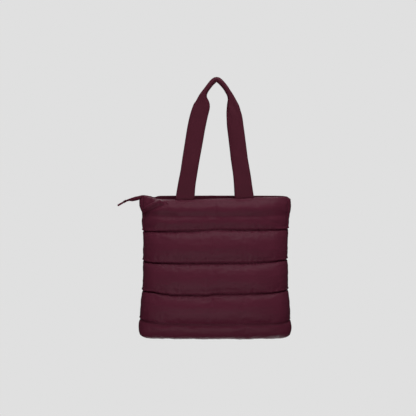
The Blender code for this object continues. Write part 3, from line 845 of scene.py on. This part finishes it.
def build_strap(context, panel, sides=36, step=0.0042):
    """A padded strap: pressed flat where it is sewn in, full along the legs and rolled at the grip."""
    grip_pleat, grip_dent, wide_pad, small_pad = 0.0011, 0.0007, 0.0010, 0.0006
    seam_dent, seam_degrees = 0.0011, 9.0
    rim_groove, rim_drop, rim_breadth = 0.0026, 0.0006, 0.0016
    body, straps = context.scene.tote_body, context.scene.tote_straps
    out = outward(panel)
    places = handle_path(context, step)
    item = tube(panel + "_strap", sides, len(places))
    seed = 4.0 if panel == "front" else 23.0
    swell_end = HANDLE_ROWS[1]["up"]
    lengths = [0.0]
    for a, b in zip(places, places[1:]):
        lengths.append(lengths[-1] + math.hypot(b[0] - a[0], b[1] - a[1]))
    frames = []
    for i, (x, z, flat, up) in enumerate(places):
        before, after = places[max(i - 1, 0)], places[min(i + 1, len(places) - 1)]
        way = Vector((after[0] - before[0], 0.0, after[1] - before[1])).normalized()
        frames.append(Vector((way.z, 0.0, -way.x)))
    maps = []
    for vertex in item.data.vertices:
        i = round(vertex.co.z * (len(places) - 1))
        turn = math.atan2(vertex.co.y, vertex.co.x)
        x, z, flat, up = places[i]
        run = lengths[i]
        width = straps.grip + (straps.width - straps.grip) * flat
        thick = straps.grip + (straps.thick - straps.grip) * min(flat, 1.0)
        pressed = 1.0 - clamp(max(up, 0.0) / swell_end)
        thick += (straps.sewn_thick - thick) * pressed
        square = 2.0 + 0.7 * clamp(flat)
        cosine, sine = math.cos(turn), math.sin(turn)
        a = math.copysign(abs(cosine)**(2.0 / square), cosine)
        b = math.copysign(abs(sine)**(2.0 / square), sine)
        gathered = 4.0 * clamp(flat) * (1.0 - clamp(flat))
        pleat = grip_pleat * gathered * math.sin(5.0 * turn + 1.3 + 6.0 * wobble(run * 25.0, seed))
        pleat += grip_dent * (1.0 - clamp(flat)) * wobble(turn * 1.4, run * 55.0, seed)
        padding = wide_pad * clamp(flat) * wobble(a * 1.5, run * 22.0, seed + b) * (1.0 - pressed)
        padding += small_pad * clamp(flat) * wobble(a * 4.0, run * 75.0, seed + b) * (1.0 - pressed)
        seam = bell(math.degrees(turn) - (0.0 if x < 0 else 180.0), seam_degrees)
        if x > 0:
            seam = max(seam, bell(math.degrees(turn) + 180.0, seam_degrees))
        dent = seam_dent * seam * (1.0 - pressed)
        wide = width / 2 + pleat - dent
        deep = thick / 2 + pleat + padding - dent * 0.3
        down = max(-(z + body.edge_drop) / body.height, 0.0)
        point = Vector((x, 0.0, z)) + frames[i] * (a * wide)
        seat = sewn_depth(context, point.x - body.shift, down)
        centre = sewn_depth(context, x - body.shift, down)
        seated = centre + (seat - centre) * pressed
        hung = SEAM_GAP / 2 + straps.grip / 2
        point.y = out * (seated + (hung - seated) * max(up, 0.0)) + b * deep
        across = clamp((point.x - body.shift) / half_width(body, 0.0, side_of(x)), -1.0, 1.0)
        rim = -body.edge_drop - edge_fall(body, across, panel)
        point.y -= out * rim_groove * max(b * out, 0.0) * bell(point.z - rim + rim_drop, rim_breadth)
        vertex.co = point
        maps.append((turn / (2 * math.pi) * 2.0 * (width + thick), run, 0.0))
    set_cloth_map(item, maps)
    face_out(item)
    subdivide_surface(item)
    return item


# Shape of the zip

def tape_line(context, x, panel):
    """Sewn edge and teeth edge of a zip tape at a place across the body, as (depth, height) pairs."""
    body, straps, zip_ = context.scene.tote_body, context.scene.tote_straps, context.scene.tote_zip
    rise, lean, clear = 0.0012, 0.92, 0.0006
    across = x / half_width(body, 0.0, side_of(x))
    top = -body.edge_drop - edge_fall(body, across, panel) - rise
    down = (zip_.tape_width + zip_.teeth + rise) / body.height
    sewn = sewn_depth(context, x, down) - straps.sewn_thick / 2 - SEAM_GAP - clear
    return (sewn, top - zip_.tape_width - zip_.teeth), (sewn * lean, top)


def tape_ends(context):
    """Left and right end of the tapes, across the body."""
    body = context.scene.tote_body
    return -TAIL_START * half_width(body, 0.0, "left") - TAIL_LAP, TAPE_END * half_width(body, 0.0, "right")


def tape_frame(context, x, panel):
    """Sewn edge, teeth edge and flat normal of a tape in space."""
    body = context.scene.tote_body
    out = outward(panel)
    low, high = (Vector((body.shift + x, out * y, z)) for y, z in tape_line(context, x, panel))
    rise = (high - low).normalized()
    return low, high, rise, rise.cross(Vector((1.0, 0.0, 0.0))).normalized()


def build_tape(context, panel, columns=150, rows=6):
    """Woven tape of one half of the zip, rippled a little along its free edge."""
    zip_ = context.scene.tote_zip
    start, end = tape_ends(context)
    item = slab(panel + "_tape", columns, rows)
    ripple_height, under_teeth = 0.0005, 0.45
    maps = []
    seed = 6.0 if panel == "front" else 31.0
    for vertex in item.data.vertices:
        u, v, skin = vertex.co
        x = start + (end - start) * u
        low, high, rise, flat = tape_frame(context, x, panel)
        tip = high - rise * zip_.teeth * under_teeth
        ripple = ripple_height * v * wobble(x * 45.0, seed)
        vertex.co = low.lerp(tip, v) + flat * ((skin - 0.5) * zip_.tape_thick + ripple)
        maps.append((x, v * zip_.tape_width, skin))
    set_cloth_map(item, maps)
    face_out(item)
    return item


def bead(name, size, segments=8, rings=5):
    """A small rounded bar, the pattern for a tooth or a stitch."""
    hide_all_selection()
    bpy.ops.mesh.primitive_uv_sphere_add(segments=segments, ring_count=rings, radius=0.5)
    item = bpy.context.object
    item.name = name
    item.rotation_euler = (0.0, math.pi / 2, 0.0)
    bpy.ops.object.transform_apply(rotation=True)
    item.scale = size
    bpy.ops.object.transform_apply(scale=True)
    return item


def copies(name, pattern, matrices):
    """Copies of a pattern piece joined into one mesh; the pattern is removed."""
    work = bmesh.new()
    for matrix in matrices:
        first = len(work.verts)
        work.from_mesh(pattern.data)
        work.verts.ensure_lookup_table()
        bmesh.ops.transform(work, matrix=matrix, verts=work.verts[first:])
    mesh = bpy.data.meshes.new(name)
    work.to_mesh(mesh)
    work.free()
    bpy.data.objects.remove(pattern, do_unlink=True)
    item = bpy.data.objects.new(name, mesh)
    bpy.context.scene.collection.objects.link(item)
    return item


def basis(x_way, z_way, place):
    """A matrix whose X runs along one direction and whose Z leans towards another."""
    x_way = x_way.normalized()
    y_way = z_way.cross(x_way).normalized()
    z_way = x_way.cross(y_way)
    matrix = Matrix((x_way, y_way, z_way)).transposed().to_4x4()
    matrix.translation = place
    return matrix


def build_teeth(context, panel):
    """Coil of one half of the zip: small loops side by side along the tape's free edge."""
    zip_ = context.scene.tote_zip
    coil_lean, coil_width, coil_thick = 0.18, 0.62, 0.0021
    start, end = tape_ends(context)
    count = int((end - start) / zip_.pitch)
    matrices = []
    for n in range(count):
        x = start + (n + 0.5) * (end - start) / count
        _, high, rise, flat = tape_frame(context, x, panel)
        lean = Vector((coil_lean, 0.0, 0.0)) * (1.0 if n % 2 else -1.0)
        matrices.append(basis(rise + lean, flat, high - rise * zip_.teeth * 0.5))
    size = (zip_.teeth, zip_.pitch * coil_width, coil_thick)
    return copies(panel + "_teeth", bead("tooth", size), matrices)


def tail_place(context, spot):
    """Centre of the zip tail at a row of its table."""
    body, zip_ = context.scene.tote_body, context.scene.tote_zip
    start = body.shift - TAIL_START * half_width(body, 0.0, "left")
    return Vector((start - spot["along"] * zip_.tail_length, 0.0,
                   -body.edge_drop - spot["down"] * zip_.tail_length))


def build_tail(context, sides=32, rings=60):
    """Cloth sleeve round the end of the zip, folded lengthwise where it leaves the corner."""
    body, zip_ = context.scene.tote_body, context.scene.tote_zip
    item = tube("zip_tail", sides, rings)
    maps = []
    for vertex in item.data.vertices:
        place = vertex.co.z
        turn = math.atan2(vertex.co.y, vertex.co.x)
        spot = {key: along(TAIL_ROWS, "along", place, key) for key in TAIL_COLUMNS}
        deep = zip_.tail_depth * spot["depth"] / 2
        high = zip_.tail_height * spot["height"] / 2
        if place * zip_.tail_length <= TAIL_LAP:
            centre_x = tail_place(context, spot).x - body.shift
            deep = tape_line(context, centre_x, "front")[1][0] - zip_.teeth / 2 - SEAM_GAP
        wave = 1.0 + 0.10 * wobble(turn * 1.1, place * 9.0, 3.0)
        wave += 0.05 * wobble(turn * 2.5, place * 25.0, 8.0)
        degrees = math.degrees(turn)
        fold = 1.0 - 0.36 * bell(degrees + 158.0, 17.0) * smooth(place / 0.3)
        fold -= 0.14 * bell(degrees - 75.0, 16.0) * smooth(place / 0.25)
        if turn < 0.0:
            fold += 0.20 * bell(place - 0.50, 0.12)
        y = math.cos(turn) * deep * wave * fold
        z = math.sin(turn) * high * wave * fold
        swing = math.radians(spot["turn"]) * 0.5
        y, z = y * math.cos(swing) - z * math.sin(swing), y * math.sin(swing) + z * math.cos(swing)
        vertex.co = tail_place(context, spot) + Vector((0.0, y, z))
        maps.append((turn * 0.006, place * zip_.tail_length, 0.0))
    set_cloth_map(item, maps)
    face_out(item)
    subdivide_surface(item)
    return item


def pull_start(context):
    """Inner end of the slider, just beyond the end of the tail, and the direction it points in."""
    lean = context.scene.tote_zip.pull_slope
    corner = 0.00205
    reach = corner * (1.0 - math.cos(lean)) + (SLIDER_HEIGHT / 2 - corner) * math.sin(lean)
    place = tail_place(context, TAIL_ROWS[-1]) - Vector((SEAM_GAP + reach, 0.0, 0.0))
    return place, Vector((-math.cos(lean), 0.0, -math.sin(lean)))


def bar(name, size, place, bevel):
    """A block with rounded edges."""
    hide_all_selection()
    bpy.ops.mesh.primitive_cube_add(size=1.0, location=place)
    item = bpy.context.object
    item.name = name
    item.scale = size
    bpy.ops.object.transform_apply(location=True, scale=True)
    bpy.ops.object.mode_set(mode="EDIT")
    bpy.ops.mesh.select_all(action="SELECT")
    bpy.ops.mesh.bevel(offset=bevel, segments=3, profile=0.6)
    bpy.ops.object.mode_set(mode="OBJECT")
    return item


def join(name, parts):
    """Parts joined into one object under a new name."""
    hide_all_selection()
    for part in parts:
        part.select_set(True)
    bpy.context.view_layer.objects.active = parts[0]
    bpy.ops.object.join()
    parts[0].name = name
    return parts[0]


def lay_along(item, place, way):
    """Put a piece that was modelled along X from its own origin at a place, along a direction."""
    item.data.transform(basis(way, Vector((0.0, 0.0, 1.0)), place))
    item.matrix_world = Matrix.Identity(4)
    return item


def build_slider(context):
    """Slider: two plates with turned-in rims, the wedge between them and the bridge for the pull."""
    length, height, thick = SLIDER_LENGTH, SLIDER_HEIGHT, SLIDER_THICK
    plate, rim, rim_inset, bridge = 0.0011, 0.0012, 0.0020, 0.0010
    parts = []
    for side in (-1.0, 1.0):
        place = (length / 2, side * (thick / 2 - plate), 0.0)
        parts.append(bar("plate", (length, plate, height), place, 0.0005))
        for edge in (-1.0, 1.0):
            place = (length / 2, side * (thick / 2 - rim_inset), edge * (height / 2 - 0.0004))
            parts.append(bar("rim", (length * 0.86, rim, 0.0008), place, 0.0003))
    size = (length * 0.35, thick - 0.0030, height * 0.35)
    parts.append(bar("wedge", size, (length * 0.24, 0.0, 0.0), 0.0004))
    parts.append(bar("neck", (0.0040, thick * 0.55, height * 0.50), (-0.0012, 0.0, 0.0), 0.0005))
    size = (length * 0.72, bridge, 0.0016)
    parts.append(bar("bridge", size, (length / 2, -thick / 2 + 0.0002, 0.0), 0.0004))
    item = join("slider_body", parts)
    place, way = pull_start(context)
    return lay_along(item, place, way)


def build_pull(context):
    """Pull: a short folded tape, stitched across near its loop."""
    length, width, thick = 0.017, 0.0050, 0.0018
    stitch_dent, stitch_place, sag = 0.0003, 0.0045, 0.0005
    item = slab("pull_tape", 34, 12)
    maps = []
    for vertex in item.data.vertices:
        u, v, skin = vertex.co
        x = u * length
        end = min(x, length - x)
        narrow = 1.0 - 0.22 * bell(x, 0.0016) - 0.10 * bell(length - x, 0.0010)
        side = (v - 0.5) * width * narrow
        stitch = stitch_dent * bell(x - stitch_place, 0.0005)
        half = thick / 2 * min(1.0, 0.55 + end / 0.002) - stitch
        rim = 1.0 - 0.45 * abs(2.0 * v - 1.0)**8
        bend = sag * math.sin(x / length * math.pi)
        vertex.co = Vector((x, (skin - 0.5) * 2.0 * half * rim + bend, side))
        maps.append((x, v * width, skin))
    set_cloth_map(item, maps)
    face_out(item)
    subdivide_surface(item)
    place, way = pull_start(context)
    return lay_along(item, place + way * (SLIDER_LENGTH + SEAM_GAP), way)


# Stitches

def stitch_line(points, normals, stitches):
    """Places of the stitches along a line of points, each lying on the cloth."""
    proud = 0.30
    lengths = [0.0]
    for a, b in zip(points, points[1:]):
        lengths.append(lengths[-1] + (b - a).length)
    matrices = []
    i = 0
    count = int(lengths[-1] / stitches.pitch)
    for n in range(count):
        target = (n + 0.5) * lengths[-1] / count
        while i < len(points) - 2 and lengths[i + 1] < target:
            i += 1
        part = (target - lengths[i]) / max(lengths[i + 1] - lengths[i], 1e-9)
        place = points[i].lerp(points[i + 1], part)
        normal = normals[i].lerp(normals[i + 1], part).normalized()
        way = points[i + 1] - points[i]
        matrices.append(basis(way, normal, place + normal * (stitches.thick * proud)))
    return matrices


def seam_points(item):
    """Points of the quilt seams on a finished panel, each seam from left to right."""
    spots = item.data.attributes["cloth"].data
    lines = {seam: [] for seam in SEAMS}
    for vertex in item.data.vertices:
        reach, down, skin = spots[vertex.index].vector
        if skin < 0.99:
            continue
        for seam in SEAMS:
            if abs(down - seam) < 1e-5:
                lines[seam].append((reach, vertex.co.copy()))
    ordered = [sorted(line, key=lambda entry: entry[0]) for line in lines.values()]
    return [[point for _, point in line] for line in ordered]


def build_seam_stitches(context, quilt, panel):
    """Thread along every quilt seam of a panel."""
    stitches = context.scene.tote_stitches
    matrices = []
    for points in seam_points(quilt):
        normals = []
        for n in range(len(points)):
            run = points[min(n + 1, len(points) - 1)] - points[max(n - 1, 0)]
            normal = run.cross(Vector((0.0, 0.0, 1.0)))
            if normal.y * outward(panel) < 0.0:
                normal.negate()
            normals.append(normal.normalized())
        matrices += stitch_line(points, normals, stitches)
    size = (stitches.length, stitches.thick, stitches.thick)
    return copies(panel + "_quilt_stitches", bead("stitch", size, 6, 4), matrices)


# Materials

def new_material(name, colour, roughness, specular, sheen):
    """A cloth or lacquer with its plain values on the shader's own sockets."""
    made = bpy.data.materials.new(name)
    made.use_nodes = True
    surface = made.node_tree.nodes["Principled BSDF"]
    surface.inputs["Base Color"].default_value = (*colour, 1.0)
    surface.inputs["Roughness"].default_value = roughness
    surface.inputs["Specular IOR Level"].default_value = specular
    surface.inputs["Sheen Weight"].default_value = sheen
    surface.inputs["Sheen Roughness"].default_value = 0.45
    surface.inputs["Sheen Tint"].default_value = (*SHEEN_TINT, 1.0)
    return made, made.node_tree, surface


def add_node(tree, kind, **values):
    """A node with its settings and plain input values."""
    node = tree.nodes.new(kind)
    for key, value in values.items():
        if key in node.inputs:
            node.inputs[key].default_value = value
        else:
            setattr(node, key, value)
    return node


def cloth_material(name, colour, roughness, specular, sheen, thread, crinkle):
    """Woven nylon: fine threads, a soft crinkle and slow changes of tone, on the cloth's own map."""
    made, tree, surface = new_material(name, colour, roughness, specular, sheen)
    link = tree.links.new
    cloth = add_node(tree, "ShaderNodeUVMap", uv_map="Cloth")
    place = add_node(tree, "ShaderNodeTexCoord")
    period = 0.314      # band to band of the wave texture at scale 1
    bands = []
    for direction in ("X", "Y"):
        wave = add_node(tree, "ShaderNodeTexWave", bands_direction=direction)
        wave.inputs["Scale"].default_value = period / thread
        link(cloth.outputs["UV"], wave.inputs["Vector"])
        bands.append(wave)
    weave = add_node(tree, "ShaderNodeMath", operation="MULTIPLY")
    link(bands[0].outputs["Fac"], weave.inputs[0])
    link(bands[1].outputs["Fac"], weave.inputs[1])
    crumple = add_node(tree, "ShaderNodeTexNoise", Scale=120.0, Detail=4.0, Roughness=0.55)
    link(place.outputs["Object"], crumple.inputs["Vector"])
    tone = add_node(tree, "ShaderNodeTexNoise", Scale=26.0, Detail=3.0, Roughness=0.5)
    link(place.outputs["Object"], tone.inputs["Vector"])
    mix = add_node(tree, "ShaderNodeMix", data_type="RGBA", blend_type="MIX")
    for socket, tone_share in ((6, 0.93), (7, 1.08)):
        mix.inputs[socket].default_value = (*[part * tone_share for part in colour], 1.0)
    blend = add_node(tree, "ShaderNodeMath", operation="MULTIPLY_ADD")
    link(weave.outputs["Value"], blend.inputs[0])
    blend.inputs[1].default_value = 0.18
    link(tone.outputs["Fac"], blend.inputs[2])
    link(blend.outputs["Value"], mix.inputs[0])
    link(mix.outputs[2], surface.inputs["Base Color"])
    gloss = add_node(tree, "ShaderNodeMapRange")
    gloss.inputs["To Min"].default_value = roughness - 0.05
    gloss.inputs["To Max"].default_value = roughness + 0.07
    link(crumple.outputs["Fac"], gloss.inputs["Value"])
    link(gloss.outputs["Result"], surface.inputs["Roughness"])
    threads = add_node(tree, "ShaderNodeBump", Strength=0.35, Distance=thread * 0.30)
    link(weave.outputs["Value"], threads.inputs["Height"])
    folds = add_node(tree, "ShaderNodeBump", Strength=0.6, Distance=crinkle)
    link(crumple.outputs["Fac"], folds.inputs["Height"])
    link(threads.outputs["Normal"], folds.inputs["Normal"])
    link(folds.outputs["Normal"], surface.inputs["Normal"])
    return made


def lacquer_material(name, colour):
    """Satin lacquer on cast metal, with faint mottling."""
    made, tree, surface = new_material(name, colour, 0.42, 0.18, 0.0)
    surface.inputs["Metallic"].default_value = 0.15
    place = add_node(tree, "ShaderNodeTexCoord")
    grain = add_node(tree, "ShaderNodeTexNoise", Scale=900.0, Detail=2.0)
    tree.links.new(place.outputs["Object"], grain.inputs["Vector"])
    gloss = add_node(tree, "ShaderNodeMapRange")
    gloss.inputs["To Min"].default_value = 0.26
    gloss.inputs["To Max"].default_value = 0.44
    tree.links.new(grain.outputs["Fac"], gloss.inputs["Value"])
    tree.links.new(gloss.outputs["Result"], surface.inputs["Roughness"])
    bump = add_node(tree, "ShaderNodeBump", Strength=0.2, Distance=0.00005)
    tree.links.new(grain.outputs["Fac"], bump.inputs["Height"])
    tree.links.new(bump.outputs["Normal"], surface.inputs["Normal"])
    return made


def finish_of(context, kind):
    """The bag's finishes, each made once."""
    name = "tote_" + kind
    if name in bpy.data.materials:
        return bpy.data.materials[name]
    colour = getattr(context.scene.tote_colours, kind)
    if kind == "lacquer":
        return lacquer_material(name, colour)
    finish = FINISH_ROWS[kind]
    return cloth_material(name, colour, *(finish[key] for key in FINISH_COLUMNS[1:]))


# Operators

class TOTE_OT_panels(Operator):
    """Model the front and back quilted panels and blow up their channels"""
    bl_idname = "tote.panels"
    bl_label = "Quilted Panels"

    def execute(self, context):
        for panel in PANELS:
            quilt = build_panel(context, panel)
            finishes = (finish_of(context, "nylon"), finish_of(context, "facing"))
            finish_piece(quilt, "quilted_nylon", finishes, panel + "_panel", fill=0.7)
            thread = build_seam_stitches(context, quilt, panel)
            finish_piece(thread, "quilted_nylon", (finish_of(context, "thread"),))
        return {"FINISHED"}


class TOTE_OT_straps(Operator):
    """Model the two padded straps with their rolled grips"""
    bl_idname = "tote.straps"
    bl_label = "Straps"

    def execute(self, context):
        for panel in PANELS:
            strap = build_strap(context, panel)
            finish_piece(strap, "strap_nylon", (finish_of(context, "strap"),), panel + "_handle", fill=0.6)
        return {"FINISHED"}


class TOTE_OT_zip(Operator):
    """Model the two zip tapes with their teeth"""
    bl_idname = "tote.zip"
    bl_label = "Zip Tapes"

    def execute(self, context):
        for panel in PANELS:
            tape = build_tape(context, panel)
            finish_piece(tape, "zip_tape", (finish_of(context, "tape"),), panel + "_zip_tape", sharp=50)
            teeth = build_teeth(context, panel)
            finish_piece(teeth, "zip_tape", (finish_of(context, "tape"),))
        return {"FINISHED"}


class TOTE_OT_tail(Operator):
    """Model the zip's sleeve, slider and pull at the left corner"""
    bl_idname = "tote.tail"
    bl_label = "Zip Tail"

    def execute(self, context):
        tail = build_tail(context)
        finish_piece(tail, "strap_nylon", (finish_of(context, "facing"),), "zip_end_tab", fill=0.5)
        slider = build_slider(context)
        finish_piece(slider, "zip_slider", (finish_of(context, "lacquer"),), "zip_slider", sharp=40)
        pull = build_pull(context)
        finish_piece(pull, "zip_tape", (finish_of(context, "tape"),), "zip_pull")
        return {"FINISHED"}


class TOTE_OT_stage(Operator):
    """Set the pale room, the soft lights and the camera"""
    bl_idname = "tote.stage"
    bl_label = "Stage"

    def execute(self, context):
        build_floor(context)
        build_room(context)
        build_lights(context)
        build_camera(context)
        return {"FINISHED"}


def build_floor(context):
    """A wide pale floor well under the hanging bag, as bright as the room round it."""
    hide_all_selection()
    colours, stage = context.scene.tote_colours, context.scene.tote_stage
    bpy.ops.mesh.primitive_circle_add(vertices=96, radius=6.0, fill_type="NGON", location=(0, 0, stage.floor))
    floor = bpy.context.object
    floor.name = "floor"
    bpy.ops.object.transform_apply(location=True)
    made = bpy.data.materials.new("pale_floor")
    made.use_nodes = True
    tree = made.node_tree
    tree.nodes.remove(tree.nodes["Principled BSDF"])
    glow = add_node(tree, "ShaderNodeEmission")
    glow.inputs["Color"].default_value = (*colours.room, 1.0)
    tree.links.new(glow.outputs["Emission"], tree.nodes["Material Output"].inputs["Surface"])
    floor.data.materials.append(made)
    floor.visible_diffuse = False
    floor.visible_glossy = False


def build_room(context):
    """An even pale background whose light is weaker from the front than from behind."""
    colours, stage = context.scene.tote_colours, context.scene.tote_stage
    world = bpy.data.worlds.new("pale_room")
    context.scene.world = world
    world.use_nodes = True
    tree = world.node_tree
    link = tree.links.new
    shown = tree.nodes["Background"]
    shown.inputs["Color"].default_value = (*colours.room, 1.0)
    shown.inputs["Strength"].default_value = 1.0
    light = add_node(tree, "ShaderNodeBackground")
    light.inputs["Color"].default_value = (1.0, 1.0, 1.0, 1.0)
    place = add_node(tree, "ShaderNodeTexCoord")
    parts = add_node(tree, "ShaderNodeSeparateXYZ")
    link(place.outputs["Generated"], parts.inputs["Vector"])
    strength = add_node(tree, "ShaderNodeMapRange", interpolation_type="SMOOTHSTEP")
    strength.inputs["From Min"].default_value = -1.0
    strength.inputs["From Max"].default_value = 0.6
    strength.inputs["To Min"].default_value = stage.front
    strength.inputs["To Max"].default_value = stage.rear
    link(parts.outputs["Y"], strength.inputs["Value"])
    height = add_node(tree, "ShaderNodeMapRange", interpolation_type="SMOOTHSTEP")
    height.inputs["From Min"].default_value = -0.9
    height.inputs["From Max"].default_value = 0.3
    height.inputs["To Min"].default_value = stage.below
    height.inputs["To Max"].default_value = 1.0
    link(parts.outputs["Z"], height.inputs["Value"])
    both = add_node(tree, "ShaderNodeMath", operation="MULTIPLY")
    link(strength.outputs["Result"], both.inputs[0])
    link(height.outputs["Result"], both.inputs[1])
    link(both.outputs["Value"], light.inputs["Strength"])
    rays = add_node(tree, "ShaderNodeLightPath")
    mix = add_node(tree, "ShaderNodeMixShader")
    link(rays.outputs["Is Camera Ray"], mix.inputs["Fac"])
    link(light.outputs["Background"], mix.inputs[1])
    link(shown.outputs["Background"], mix.inputs[2])
    link(mix.outputs["Shader"], tree.nodes["World Output"].inputs["Surface"])


def add_light(name, size, power, place, target):
    """A soft square light that looks at a target."""
    data = bpy.data.lights.new(name, "AREA")
    data.shape = "SQUARE"
    data.size = size
    data.energy = power
    lamp = bpy.data.objects.new(name, data)
    bpy.context.scene.collection.objects.link(lamp)
    lamp.location = place
    lamp.rotation_euler = (target - place).to_track_quat("-Z", "Y").to_euler()


def build_lights(context):
    """Soft lights above and low in front of the bag, with their twins behind it."""
    stage = context.scene.tote_stage
    target = Vector((0.0, 0.0, -0.45))
    add_light("key", 1.6, stage.key, Vector((0.20, -0.75, 1.35)), target)
    add_light("back", 1.6, stage.key * 0.5, Vector((-0.2, 1.3, 1.1)), target)
    add_light("fill", 1.4, stage.fill, Vector((-0.15, -1.35, -1.40)), target)
    add_light("back_fill", 1.4, stage.fill, Vector((0.15, 1.35, -1.40)), target)


def build_camera(context):
    """The camera at the photograph's angle, with 416 pixels of 2.6 mm across the picture at the bag."""
    stage = context.scene.tote_stage
    pixel = 0.0026
    picture = 416
    hang_pixel = Vector((216.5, 82.5))
    middle = Vector(((picture / 2 - hang_pixel.x) * pixel, 0.0, (hang_pixel.y - picture / 2) * pixel))
    data = bpy.data.cameras.new("camera")
    camera = bpy.data.objects.new("camera", data)
    context.scene.collection.objects.link(camera)
    data.angle = 2.0 * math.atan(picture * pixel / 2 / stage.distance)
    back = Vector((0.0, -math.cos(stage.elevation), math.sin(stage.elevation)))
    camera.location = middle + back * stage.distance
    camera.rotation_euler = (-back).to_track_quat("-Z", "Y").to_euler()
    data.clip_start = 0.05
    data.clip_end = 50.0
    context.scene.camera = camera
    context.scene.view_settings.view_transform = "Standard"
    context.scene.view_settings.look = "None"


class TOTE_PT_sidebar(Panel):
    """Pieces of the tote bag and their sizes"""
    bl_idname = "TOTE_PT_sidebar"
    bl_label = "Puffer Tote"
    bl_space_type = "VIEW_3D"
    bl_region_type = "UI"
    bl_category = "Tote"

    def draw(self, context):
        for operator in OPERATORS:
            self.layout.operator(operator.bl_idname)
        for name in SETTINGS:
            group = getattr(context.scene, name)
            box = self.layout.box()
            box.label(text=group.bl_rna.description)
            for key in group.bl_rna.properties.keys():
                if key not in ("rna_type", "name"):
                    box.prop(group, key)


SETTINGS = {
    "tote_body": ToteBody,
    "tote_straps": ToteStraps,
    "tote_zip": ToteZip,
    "tote_stitches": ToteStitches,
    "tote_cloth": ToteCloth,
    "tote_colours": ToteColours,
    "tote_stage": ToteStage,
}
OPERATORS = (TOTE_OT_panels, TOTE_OT_straps, TOTE_OT_zip, TOTE_OT_tail, TOTE_OT_stage)
CLASSES = (*SETTINGS.values(), *OPERATORS, TOTE_PT_sidebar)


def register():
    """Add the settings, the operators and the panel."""
    for cls in CLASSES:
        bpy.utils.register_class(cls)
    for name, group in SETTINGS.items():
        setattr(bpy.types.Scene, name, PointerProperty(type=group))


def unregister():
    """Take the settings, the operators and the panel out again."""
    for name in SETTINGS:
        delattr(bpy.types.Scene, name)
    for cls in reversed(CLASSES):
        bpy.utils.unregister_class(cls)


def main():
    """Build the whole bag and its stage."""
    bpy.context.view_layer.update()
    register()
    bpy.ops.tote.panels()
    bpy.ops.tote.straps()
    bpy.ops.tote.zip()
    bpy.ops.tote.tail()
    bpy.ops.tote.stage()


if __name__ == "__main__":
    main()
